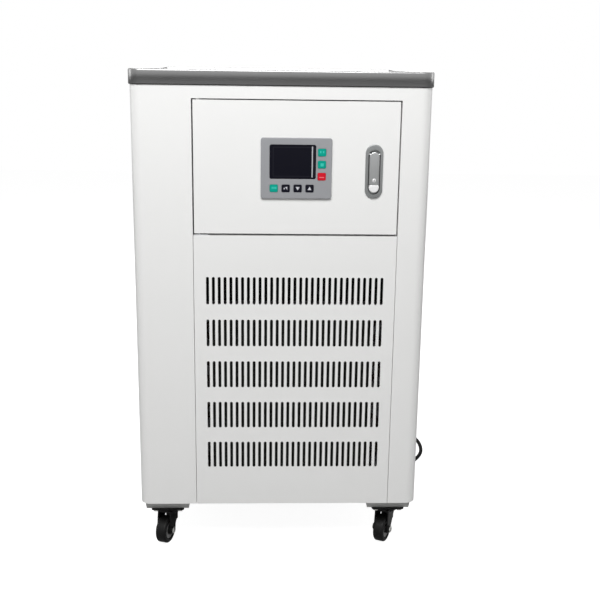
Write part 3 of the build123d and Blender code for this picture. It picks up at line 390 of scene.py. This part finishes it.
zinc = finish("Bright zinc plate", (0.62, 0.62, 0.60), 0.28, metallic=1.0, grain=900, tone=0.08,
              spread=0.08, dust=0.1)
pan_head = [
    (0.0040, 0), (0.0040, 0.0008), (0.0034, 0.0019), (0.0024, 0.0024), (-0.0019, 0.0024),
    (-0.0012, 0.0010),
]
cabinet_depth = 500
rear_face = cabinet_depth + 1.2
screw_side = 222
screw_rows = (12, 130, 250, 370, 490, 610, 731)
shape = bmesh.new()
for height in screw_rows:
    for x in (-screw_side, screw_side):
        turned(shape, pan_head, place(x, rear_face, height), (0, 1, 0), recess="cross")
for x in (-110, 0, 110):
    for height in (screw_rows[0], screw_rows[-1]):
        turned(shape, pan_head, place(x, rear_face, height), (0, 1, 0), recess="cross")
fitted(made("rear_panel_screws", shape), "cabinet", "zinc_plate", zinc)

# The top is one sheet of stainless steel with a mirror polish: a skirt over the shell, a rolled rim and
# a deck set
# 12 mm below it, with a hole for the filler neck. A dark bead under the skirt is painted shade, standing
# for the dark gap between the skirt and the shell.
cabinet_width = 500
cabinet_corner = 18


def swept_round(name, profile, hole):
    """Sweeps (outset, height) pairs round the outline, into a ring or closed with two decks."""
    shape = bmesh.new()
    rings = []
    for outset, height in profile:
        ring = []
        half_width = cabinet_width / 2 + outset
        half_depth = cabinet_depth / 2 + outset
        radius = max(cabinet_corner + outset, 2)
        for corner, (sx, sy) in enumerate(((1, 1), (-1, 1), (-1, -1), (1, -1))):
            for step in range(9):
                angle = math.radians(90 * corner + 90 * step / 8)
                x = sx * (half_width - radius) + radius * math.cos(angle)
                depth = cabinet_depth / 2 + sy * (half_depth - radius) + radius * math.sin(angle)
                ring.append(shape.verts.new(place(x, depth, height)))
        rings.append(ring)
    if hole is None:
        rings.append(rings[0])
    for low, high in zip(rings, rings[1:]):
        for step in range(len(low)):
            beside = (step + 1) % len(low)
            shape.faces.new((low[step], low[beside], high[beside], high[step]))
    if hole is None:
        return made(name, shape, sharp=60)
    x, depth, radius = hole
    for ring, height in ((rings[0], profile[0][1]), (rings[-1], profile[-1][1])):
        rim = []
        for step in range(40):
            angle = 2 * math.pi * step / 40
            spot = place(x + radius * math.cos(angle), depth + radius * math.sin(angle), height)
            rim.append(shape.verts.new(spot))
        loops = []
        for loop in (ring, rim):
            for first, second in zip(loop, loop[1:] + loop[:1]):
                loops.append(shape.edges.get((first, second)) or shape.edges.new((first, second)))
        bmesh.ops.triangle_fill(shape, edges=loops, use_beauty=True)
    return made(name, shape, sharp=60)


# The rim's steel is painted dark: its dark base colour is a painted reflection of a dark room.
stainless_painted_dark = finish("Stainless rim painted dark as a reflection", (0.25, 0.25, 0.25), 0.3, metallic=1.0, grain=260,
                  stretch=(0.15, 0.15, 6), relief=0.000004, tone=0.06, spread=0.05, dust=0.03,
                  worn=((0.3, 0.3, 0.3), 0.001, 0.2))
skirt_low = 744
deck_height = 756
rim_high = 768
skirt_outset = 2.5
roll_radius = 3
filler_hole = (40, 330, 21.5)
rim_profile = [
    (-8.6, deck_height - 1.2), (1.3, deck_height - 1.2), (1.35, skirt_low + 0.3), (1.6, skirt_low),
    (2.2, skirt_low), (skirt_outset, skirt_low + 0.4), (skirt_outset, rim_high - roll_radius),
]
for step in range(1, 6):
    angle = math.radians(90 * step / 5)
    rim_profile.append((
        skirt_outset - roll_radius * (1 - math.cos(angle)),
        rim_high - roll_radius * (1 - math.sin(angle)),
    ))
rim_profile += [
    (-5.0, rim_high), (-6.0, rim_high - 0.3), (-6.5, rim_high - 1), (-6.5, deck_height + 2.2),
    (-7.0, deck_height + 0.9), (-7.9, deck_height + 0.2), (-9.5, deck_height),
]
top = swept_round("stainless_top", rim_profile, filler_hole)
fitted(top, "cabinet", "stainless_rim", stainless_painted_dark, "top_tray")
# The bead is painted shade: a dark strip where the gap under the skirt falls dark.
gap_shade_bead = finish("Dark bead painting the gap's shade", (0.012, 0.012, 0.012), 0.6, grain=300, relief=0.00005, tone=0.2,
                 gloss=0.2)
gap_shade_profile = [
    (-0.1, skirt_low - 1.4), (1.3, skirt_low - 1.2), (1.9, skirt_low - 0.6), (1.9, skirt_low + 0.2),
    (-0.1, skirt_low + 0.2),
]
fitted(swept_round("tray_gap_shade_bead", gap_shade_profile, None), "cabinet", "black_rubber", gap_shade_bead)

# Inside, the floor pan, the tank shelf, the rail under the door, the condenser's shroud and the
# electrics plate are folded from galvanised sheet, with its pale spangle.
def galvanised_look(name):
    """Galvanised sheet: crystals of slightly different grey that catch the light differently."""
    material = finish(name, (0.56, 0.57, 0.58), 0.42, metallic=1.0, grain=500, tone=0.05, spread=0.05,
                      dust=0.25)
    tree = material.node_tree
    surface = tree.nodes["Principled BSDF"]
    where = tree.nodes.new("ShaderNodeTexCoord")
    crystal = tree.nodes.new("ShaderNodeTexVoronoi")
    crystal.inputs["Scale"].default_value = 95
    shade = tree.nodes.new("ShaderNodeSeparateColor")
    sheen = tree.nodes.new("ShaderNodeMapRange")
    sheen.inputs["To Min"].default_value = 0.3
    sheen.inputs["To Max"].default_value = 0.55
    tree.links.new(where.outputs["Object"], crystal.inputs["Vector"])
    tree.links.new(crystal.outputs["Color"], shade.inputs["Color"])
    tree.links.new(shade.outputs[0], sheen.inputs["Value"])
    tree.links.new(sheen.outputs["Result"], surface.inputs["Roughness"])
    return material


galvanised = galvanised_look("Galvanised sheet")
for name in ("base_pan", "tank_shelf", "cross_rail", "electrics_plate", "fan_shroud"):
    folded(name, "cabinet", "galvanised_sheet", galvanised, 0.0003, 1)

# The two hat-section rails that carry the casters are pressed from thicker sheet and sprayed a satin
# grey, painted lighter than its own grey as painted light against the shade under the cabinet. A thin
# plate lies over each end.
rail_paint_with_painted_light = finish("Satin grey rail paint lightened as painted light", (0.60, 0.602, 0.59), 0.42, grain=600, relief=0.00002,
                    tone=0.05, spread=0.06, worn=((0.62, 0.62, 0.60), 0.0015, 0.6), dust=0.1)
for name in ("left_caster_rail", "right_caster_rail"):
    folded(name, "cabinet", "grey_rail_paint", rail_paint_with_painted_light, 0.0009)


def closed_between(shape, front, back):
    """Closes two matching loops of points into one solid plate."""
    shape.faces.new(front)
    shape.faces.new(list(reversed(back)))
    for first in range(len(front)):
        after = (first + 1) % len(front)
        shape.faces.new((front[first], back[first], back[after], front[after]))


def plate(shape, outline, near, far):
    """Adds a flat plate between two depths from an outline of (x, height) pairs in mm."""
    front = [shape.verts.new(place(x, near, height)) for x, height in outline]
    back = [shape.verts.new(place(x, far, height)) for x, height in outline]
    closed_between(shape, front, back)


rail_centre = 205
rail_start = 36
rail_foot = 39
rail_head = 44
rail_low = -26
rail_high = -0.3
rail_ends = bmesh.new()
for side in (-rail_centre, rail_centre):
    for near in (rail_start - 0.8, cabinet_depth - rail_start - 0.2):
        section = [
            (side - rail_foot, rail_low), (side + rail_foot, rail_low),
            (side + rail_head, rail_high), (side - rail_head, rail_high),
        ]
        plate(rail_ends, section, near, near + 1)
fitted(made("rail_end_plates", rail_ends), "cabinet", "grey_rail_paint", rail_paint_with_painted_light)

# The casters are small and black: a bolted plate with its ball race, a pressed fork and a moulded
# wheel that turns on a zinc bolt, with a convex bearing cover pressed into each side. The covers are
# painted mid-grey as a painted reflection of the softbox on their curve.
caster_black = finish("Gloss black caster enamel", (0.004, 0.004, 0.004), 0.34, grain=500,
                      relief=0.00002, tone=0.1, spread=0.08, worn=((0.05, 0.05, 0.05), 0.0008, 0.5),
                      dust=0.02, gloss=0.2)
wheel_black = finish("Moulded black wheel", (0.004, 0.004, 0.004), 0.5, grain=350, relief=0.00003,
                     tone=0.15, spread=0.1, worn=((0.02, 0.02, 0.02), 0.002, 0.5), dust=0.01, gloss=0.18)
# The bearing covers' grey is a painted reflection of the softbox on a glossy black ring.
hub_painted_reflection_grey = finish("Bearing cover painted grey as a reflection", (0.22, 0.22, 0.22), 0.4, grain=500, tone=0.06, dust=0.1)
folded("caster_plates", "cabinet", "black_caster_paint", caster_black, 0.0004)
kingpin_setback = 61
caster_trail = 17
axle_height = 25
plate_low = 69.5
bolt_reach = 22
swivel_angles = {"front_left": 20, "front_right": 27, "rear_left": 38, "rear_right": 12}
hex_bolt = [
    (0.0062, 0), (0.0062, 0.0006), (-0.0050, 0.0006), (-0.0050, 0.0034), (-0.0044, 0.0038),
    (0.0001, 0.0038),
]
bearing_cover = [
    (0.0162, 0.0073), (0.0166, 0.0078), (0.0162, 0.0086), (0.0150, 0.0088), (0.0105, 0.0080),
    (0.0098, 0.0080), (0.0090, 0.0074),
]
axle_head = [
    (0.0064, 0.0137), (0.0064, 0.0167), (0.0056, 0.0170), (-0.0050, 0.0170), (-0.0050, 0.0176),
    (-0.0045, 0.0179), (0.0002, 0.0179),
]


def fork_crown(kingpin, along, trail):
    """The web behind the wheel that joins the fork's two legs under its head."""
    half_width = 0.0122
    crown_high = 0.060
    crown_drop = 0.028
    shape = bmesh.new()
    rings = []
    for reach in (-0.0100, -0.0115):
        ring = []
        for step in range(13):
            sweep = math.pi * step / 12
            across = half_width * math.cos(sweep)
            rise = crown_high - crown_drop * max(math.sin(sweep), 0) ** 0.12
            spot = kingpin + trail * reach + along * across + Vector((0, 0, rise))
            ring.append(shape.verts.new(spot))
        rings.append(ring)
    closed_between(shape, *rings)
    return shape


plate_bolts = bmesh.new()
for name, turn in swivel_angles.items():
    folded(name + "_caster_fork", name + "_fork", "black_caster_paint", caster_black, 0.0006)
    folded(name + "_caster_wheel", name + "_wheel", "black_wheel", wheel_black, 0.0004)
    x = -rail_centre if "left" in name else rail_centre
    depth = kingpin_setback if "front" in name else cabinet_depth - kingpin_setback
    angle = math.radians(turn)
    along = Vector((math.cos(angle), -math.sin(angle), 0))
    trail = Vector((-math.sin(angle), -math.cos(angle), 0))
    kingpin = place(x, depth, -ground_gap)
    hub = kingpin + trail * caster_trail / 1000 + Vector((0, 0, axle_height / 1000))
    covers = bmesh.new()
    bolt = bmesh.new()
    for side in (-1, 1):
        turned(covers, bearing_cover, hub, side * along, steps=40)
        turned(bolt, axle_head, hub, side * along, recess="hex")
    fitted(made(name + "_bearing_covers", covers), name + "_wheel", "black_wheel", hub_painted_reflection_grey)
    fitted(made(name + "_axle_bolt", bolt), name + "_fork", "black_caster_paint", zinc)
    crown = made(name + "_fork_crown", fork_crown(kingpin, along, trail))
    fitted(crown, name + "_fork", "black_caster_paint", caster_black)
    for dx in (-bolt_reach, bolt_reach):
        for dy in (-bolt_reach, bolt_reach):
            under_plate = place(x + dx, depth + dy, plate_low - ground_gap)
            turned(plate_bolts, hex_bolt, under_plate, (0, 0, -1), recess="hex")
fitted(made("caster_plate_bolts", plate_bolts), "cabinet", "zinc_plate", zinc)

# The controller is a panel-mounted module: a fine matt grey bezel with a dark window over its
# display. The window's corners are rounded, and the edge of the display shows at its right.
bezel_grey = finish("Matt grey bezel", (0.30, 0.305, 0.32), 0.5, grain=1400, relief=0.00001, tone=0.03,
                    spread=0.05, worn=((0.42, 0.43, 0.44), 0.0006, 0.3))
folded("controller_housing", "door", "grey_bezel", bezel_grey, 0.0003)
smoked = finish("Smoked display window", (0.005, 0.005, 0.010), 0.16, grain=60, relief=0.000001,
                tone=0.3, spread=0.04, gloss=0.08)
folded("display_window", "door", "dark_window", smoked, 0.0003)


def printed(name, outlines, front, body, slot, material, thick=0.04):
    """Flat print or inlay on a front face, from outlines of (x, height) pairs in mm."""
    shape = bmesh.new()
    for outline in outlines:
        plate(shape, outline, front - thick, front + thick)
    return fitted(made(name, shape), body, slot, material)


def upright(left, right, low, high):
    """The outline of an upright rectangle between its sides."""
    return [(left, low), (right, low), (right, high), (left, high)]


window_left = -20.0
window_right = 57.5
window_low = 591.5
window_high = 648.3
window_front = -3.4
frame_bar = 1.1
left, right = window_left + 5.5, window_right - 2.5
low, high = window_low + 4, window_high - 3.8
display_frame = finish("Display frame behind the window", (0.014, 0.014, 0.020), 0.2, grain=200,
                       tone=0.2, gloss=0.1)
frame_bars = [
    upright(left, right, low, low + frame_bar),
    upright(left, right, high - frame_bar, high),
    upright(left, left + frame_bar, low + frame_bar, high - frame_bar),
    upright(right - frame_bar, right, low + frame_bar, high - frame_bar),
]
printed("display_frame", frame_bars, window_front, "door", "dark_window", display_frame)
bright_edge = finish("Bright edge of the display", (0.46, 0.47, 0.50), 0.35, grain=90,
                     stretch=(1, 1, 6), tone=0.25)
edge_line = [upright(50.3, 52.2, low - 1, high + 1)]
printed("display_edge", edge_line, window_front - 0.05, "door", "dark_window", bright_edge)
window_radius = 3.0
corners = []
for x, sx in ((window_left, 1), (window_right, -1)):
    for height, sz in ((window_low, 1), (window_high, -1)):
        outline = [(x, height)]
        for step in range(7):
            angle = math.radians(90 * step / 6)
            inward = window_radius * (1 - math.sin(angle))
            upward_or_down = window_radius * (1 - math.cos(angle))
            outline.append((x + sx * inward, height + sz * upward_or_down))
        corners.append(outline)
printed("window_corners", corners, window_front - 0.3, "door", "grey_bezel", bezel_grey, thick=0.3)

# The keys are soft moulded caps in green, red and black. Each carries a plain printed sign: bars
# and a block on the coloured ones, a corner mark and two arrowheads on the black ones.
green = finish("Green silicone key", (0.001, 0.33, 0.25), 0.42, grain=700, tone=0.06,
               worn=((0.03, 0.45, 0.36), 0.001, 0.5), gloss=0.15)
red = finish("Red silicone key", (0.62, 0.010, 0.025), 0.42, grain=700, tone=0.06,
             worn=((0.7, 0.08, 0.08), 0.001, 0.5), gloss=0.15)
black = finish("Black silicone key", (0.004, 0.004, 0.010), 0.42, grain=700, tone=0.1,
               worn=((0.03, 0.03, 0.04), 0.001, 0.5), gloss=0.12)
pale_green = finish("Pale green print", (0.03, 0.52, 0.42), 0.5, grain=700, tone=0.05)
pale_red = finish("Pale red print", (0.80, 0.16, 0.18), 0.5, grain=700, tone=0.05)
pale_grey = finish("Pale grey print", (0.58, 0.58, 0.62), 0.5, grain=700, tone=0.05)


def bar(x, height, width, tall):
    """A small upright rectangle round a middle."""
    return upright(x - width / 2, x + width / 2, height - tall / 2, height + tall / 2)


key_face = -4.6
key_pitch = 20
first_key = (-12.7, 575.8)
# Each key's column and row on the bezel, its colour, and its sign's outlines round its middle.
keys = {
    "menu_key": (0, 0, "green", [bar(dx, 0.8, 2.2, 3.6) for dx in (-2.5, 0.5, 3.5)]),
    "shift_key": (1, 0, "black", [[(-1.1, 2.6), (2.6, 2.6), (2.6, -2.4)], bar(-2.4, -0.2, 2.0, 2.6)]),
    "down_key": (2, 0, "black", [[(-3.3, 2.6), (0, -3.2), (3.3, 2.6)]]),
    "up_key": (3, 0, "black", [[(-3.3, -2.4), (3.3, -2.4), (0, 3.4)]]),
    "stop_key": (4, 1, "red", [bar(0, -1.2, 8.0, 1.5)]),
    "start_key": (4, 2, "green", [bar(0.3, -0.2, 5.4, 5.2)]),
    "mode_key": (4, 3, "green", [bar(dx, 0.8, 2.4, 3.6) for dx in (-2.4, 2.4)]),
}
key_finishes = {"green": (green, pale_green), "red": (red, pale_red), "black": (black, pale_grey)}
for name, (column, row, colour, signs) in keys.items():
    cap, ink = key_finishes[colour]
    x = first_key[0] + key_pitch * column
    height = first_key[1] + key_pitch * row
    outlines = [[(x + dx, height + dz) for dx, dz in sign] for sign in signs]
    folded(name, name, colour + "_key", cap, 0.0003)
    printed(name + "_sign", outlines, key_face, name, colour + "_key", ink, thick=0.05)

# The latch is a zinc die casting with a satin plated finish: a stadium-shaped housing, a lever
# that lies in it and swings out, with a round lock face, and a white push button below. The lever is
# painted lighter than the housing, as painted light, and its light edges are partly rubbing and partly a
# painted highlight.
satin_zinc = finish("Satin plated die casting", (0.30, 0.31, 0.31), 0.36, metallic=0.85, grain=800,
                    relief=0.000012, tone=0.05, spread=0.06, worn=((0.55, 0.55, 0.55), 0.001, 0.5))
# The push button and the lock face are plated, but they are painted near-white: a painted reflection of
# the white studio.
chrome_painted_white = finish("Chrome painted white as a reflection", (0.90, 0.90, 0.90), 0.4, metallic=0.35, grain=300,
                relief=0.000002, tone=0.02, spread=0.04)
# The lever's zinc is painted lighter than the housing's, as painted light; its edge colour is partly
# real rubbing and partly a painted highlight.
handle_zinc_painted_light = finish("Handle zinc painted lighter, rubbed and highlighted", (0.46, 0.47, 0.47), 0.3, metallic=0.9, grain=800,
                     relief=0.000012, tone=0.06, spread=0.06, worn=((0.75, 0.75, 0.75), 0.0015, 0.6))
folded("latch_housing", "door", "satin_zinc", satin_zinc, 0.0005)
folded("latch_handle", "latch_handle", "satin_zinc", handle_zinc_painted_light, 0.0007, 3)
folded("latch_button", "latch_button", "bright_chrome", chrome_painted_white, 0.0003)
folded("latch_tongue", "latch_tongue", "zinc_plate", zinc, 0.0003)
latch_x = 155
lock_height = 590.5
handle_face = -6
lock_face = [(0.0030, 0), (0.0030, 0.0003), (0.0026, 0.0005), (0.0006, 0.0005)]
shape = bmesh.new()
turned(shape, lock_face, place(latch_x, handle_face, lock_height), (0, -1, 0))
# The lock face carries the same near-white painted reflection.
fitted(made("latch_lock_face", shape), "latch_handle", "satin_zinc", chrome_painted_white)
# The key slot is a flat dark print: painted shade standing for the slot's recess.
slot_painted_shade = finish("Key slot painted dark as shade", (0.01, 0.01, 0.01), 0.6, grain=300)
key_slot = [upright(latch_x - 0.5, latch_x + 0.5, lock_height - 2.1, lock_height + 2.1)]
printed("latch_key_slot", key_slot, handle_face - 0.55, "latch_handle", "satin_zinc", slot_painted_shade)

# The condenser stands behind the slots: thin aluminium fins pressed on copper tubes, with the fins near
# black and the tubes' copper darkened. A black sheet above it, behind the upper slots, is painted shade,
# and the fan and its motor hang in the shroud behind it.
def dressed(node, material):
    """Gives a CAD node that keeps its own shape its finish."""
    for held in nodes[node].material_slots:
        held.link = "OBJECT"
        held.material = material


fins = finish("Dusty condenser fins", (0.028, 0.028, 0.026), 0.6, metallic=0.4, grain=900,
              stretch=(1, 1, 0.1), relief=0.00003, tone=0.2, dust=0.1, gloss=0.15)
dressed("condenser_fins", fins)
# This black sheet is painted shade: it stands behind the upper slots where the inside is dark, and its
# wave makes its face uneven.
shade_sheet_finish = finish("Black sheet painting the shade inside", (0.010, 0.010, 0.010), 0.9, grain=250, relief=0.0004, tone=0.2,
              dust=0.1, gloss=0.1)
shade_sheet_outline = upright(-186, 190, 362, 462)
shade_sheet_front = 70
shade_sheet_thick = 12
shade_sheet_wave = 0.0012
shade_sheet_form = bmesh.new()
plate(shade_sheet_form, shade_sheet_outline, shade_sheet_front, shade_sheet_front + shade_sheet_thick)
bmesh.ops.subdivide_edges(shade_sheet_form, edges=shade_sheet_form.edges, cuts=12, use_grid_fill=True)
for point in shade_sheet_form.verts:
    point.co.y += shade_sheet_wave * math.sin(point.co.x * 61) * math.cos(point.co.z * 83)
fitted(made("upper_slot_shade_sheet", shade_sheet_form), "cabinet", "black_rubber", shade_sheet_finish)
darkened_tube_copper = finish("Darkened condenser tube copper", (0.05, 0.035, 0.028), 0.6, metallic=0.5, grain=300,
               tone=0.2, gloss=0.15)
dressed("condenser_tubes", darkened_tube_copper)
machine_black = finish("Black machine enamel", (0.014, 0.014, 0.015), 0.38, grain=350,
                       relief=0.00003, tone=0.15, spread=0.08, worn=((0.06, 0.06, 0.06), 0.001, 0.4),
                       dust=0.3)
folded("fan_motor", "cabinet", "black_machine_paint", machine_black, 0.0008)
folded("fan", "fan", "black_machine_paint", machine_black, 0.0003, 1)

# The hermetic compressor is a welded steel shell in black enamel on four rubber feet. Brazed
# copper lines join it to the condenser, the drier and the evaporator in the tank.
rubber = finish("Moulded black rubber", (0.017, 0.017, 0.018), 0.62, grain=500, relief=0.00003,
                tone=0.12, spread=0.06, dust=0.12)
copper = finish("Bright drawn copper", (0.62, 0.28, 0.17), 0.3, metallic=1.0, grain=300,
                stretch=(1, 1, 0.2), relief=0.000008, tone=0.12, spread=0.08, dust=0.1)
folded("compressor", "cabinet", "black_machine_paint", machine_black, 0.0012)
dressed("compressor_grommets", rubber)
for name in ("discharge_line", "liquid_line", "suction_line"):
    dressed(name, copper)
folded("filter_drier", "cabinet", "copper_tube", copper, 0.0006)
seam = [(0.0750, -0.003), (0.0765, -0.0022), (0.0772, 0), (0.0765, 0.0022), (0.0750, 0.003)]
compressor_middle = place(-110, 330, 132)
weld = bmesh.new()
turned(weld, seam, compressor_middle, (0, 0, 1), steps=72)
fitted(made("compressor_seam_weld", weld), "cabinet", "black_machine_paint", machine_black)

# The water side: a drawn stainless tank with its coil, a small black pump and rubber hoses, steel
# nipples through the back and a brass drain cock with a red lever.
tank_steel = finish("Drawn stainless tank", (0.44, 0.44, 0.43), 0.34, metallic=1.0, grain=240,
                    stretch=(0.2, 0.2, 5), relief=0.000008, tone=0.06, spread=0.08, dust=0.1)
brass = finish("Turned brass", (0.62, 0.44, 0.20), 0.26, metallic=1.0, grain=500, stretch=(1, 0.2, 1),
               relief=0.000008, tone=0.08, spread=0.06)
red_grip = finish("Red dipped lever", (0.50, 0.022, 0.018), 0.36, grain=500, tone=0.08,
                  worn=((0.62, 0.2, 0.16), 0.001, 0.5))
folded("reservoir_tank", "cabinet", "tank_stainless", tank_steel, 0.0006)
dressed("evaporator_coil", tank_steel)
folded("hose_nipples", "cabinet", "tank_stainless", tank_steel, 0.0003, 1)
folded("circulation_pump", "cabinet", "black_machine_paint", machine_black, 0.0010)
dressed("suction_hose", rubber)
dressed("delivery_hose", rubber)
folded("drain_valve", "cabinet", "valve_brass", brass, 0.0004)
folded("drain_lever", "drain_lever", "red_lever", red_grip, 0.0006)

# The electrics hang on their plate behind the door: a moulded contactor with its screw terminals
# and a transformer with a varnished core.
moulded_black = finish("Moulded black plastic", (0.020, 0.020, 0.021), 0.45, grain=900,
                       relief=0.00002, tone=0.1, spread=0.06, worn=((0.06, 0.06, 0.06), 0.0008, 0.4),
                       dust=0.06)
core_steel = finish("Varnished core steel", (0.10, 0.095, 0.09), 0.4, metallic=0.6, grain=200,
                    stretch=(1, 1, 8), relief=0.00005, tone=0.2, spread=0.08)
folded("contactor", "cabinet", "black_plastic", moulded_black, 0.0008)
folded("transformer", "cabinet", "transformer_steel", core_steel, 0.0006)
contactor_front = 110
terminal_rows = (552, 613)
terminal_screw = [
    (0.0030, -0.0012), (0.0030, 0.0008), (0.0025, 0.0012), (-0.0018, 0.0012), (-0.0010, 0.0004),
]
terminals = bmesh.new()
for x in (-140, -128, -116, -104):
    for height in terminal_rows:
        turned(terminals, terminal_screw, place(x, contactor_front, height), (0, -1, 0), recess="cross")
fitted(made("contactor_terminal_screws", terminals), "cabinet", "zinc_plate", zinc)

# The filler cap, the cord gland and the moulded plug are black plastic, and the door's upper hinge
# pin is plated with zinc.
folded("filler_cap", "filler_cap", "black_plastic", moulded_black, 0.0006)
folded("cord_gland", "cabinet", "black_plastic", moulded_black, 0.0004)
plug = folded("power_plug", "cabinet", "black_plastic", moulded_black, 0.0010)
folded("upper_hinge_pin", "cabinet", "zinc_plate", zinc, 0.0003)

# The mains cord is 8 mm black rubber flex. It drops from the gland, runs round on the floor at
# the right rear and is wound into a small flat coil behind the cabinet, with its plug beside it.
flex = finish("Black rubber flex", (0.004, 0.004, 0.004), 0.75, grain=700, relief=0.00002, tone=0.12,
              spread=0.05, dust=0.01, gloss=0.05)
cord_route = [
    (190, 512, 158), (190, 557, 158), (191, 598, 150), (194, 630, 124), (199, 648, 83),
    (210, 655, 42), (236, 652, 12), (276, 632, 4), (313, 594, 4), (336, 546, 4),
    (344, 494, 4), (336, 440, 4), (306, 392, 4), (258, 356, 4), (200, 340, 4),
    (142, 352, 4), (106, 394, 4), (92, 450, 4), (90, 508, 4), (88, 564, 4),
    (84, 610, 4),
]
# The coil has two layers. The flex climbs to the upper one early in its third turn, and the lanes
# are a little wide because the spline runs inside its points.
flex_width = 8
coil_middle = (35, 622)
outer_lane = 49
turns_a_layer = 2
points_a_turn = 14
climbing_part = 0.12
spline_inset = 0.975
for step in range(1, 2 * turns_a_layer * points_a_turn):
    turn = step / points_a_turn
    lane = outer_lane - flex_width * (turns_a_layer - abs(turn - turns_a_layer))
    lane /= spline_inset
    climbed = min(max((turn - turns_a_layer) / climbing_part, 0), 1)
    rise = flex_width / 2 + flex_width * climbed
    angle = 2 * math.pi * turn
    x = coil_middle[0] + lane * math.cos(angle)
    depth = coil_middle[1] + lane * math.sin(angle)
    cord_route.append((x, depth, rise))
cord_route += [(84, 630, 12), (84, 652, 12.5)]
cord_line = bpy.data.curves.new("mains_cord", "CURVE")
cord_line.dimensions = "3D"
cord_line.bevel_depth = flex_width / 2000
cord_line.bevel_resolution = 5
cord_line.resolution_u = 6
cord_line.use_fill_caps = True
cord_line.materials.append(flex)
spline = cord_line.splines.new("NURBS")
spline.points.add(len(cord_route) - 1)
for point, (x, depth, above_floor) in zip(spline.points, cord_route):
    point.co = (*place(x, depth, above_floor - ground_gap), 1)
spline.order_u = 3
spline.use_endpoint_u = True
cord = bpy.data.objects.new("mains_cord", cord_line)
bpy.context.scene.collection.objects.link(cord)
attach(cord, "cabinet")
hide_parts("power_cord", "power_cord_coil")
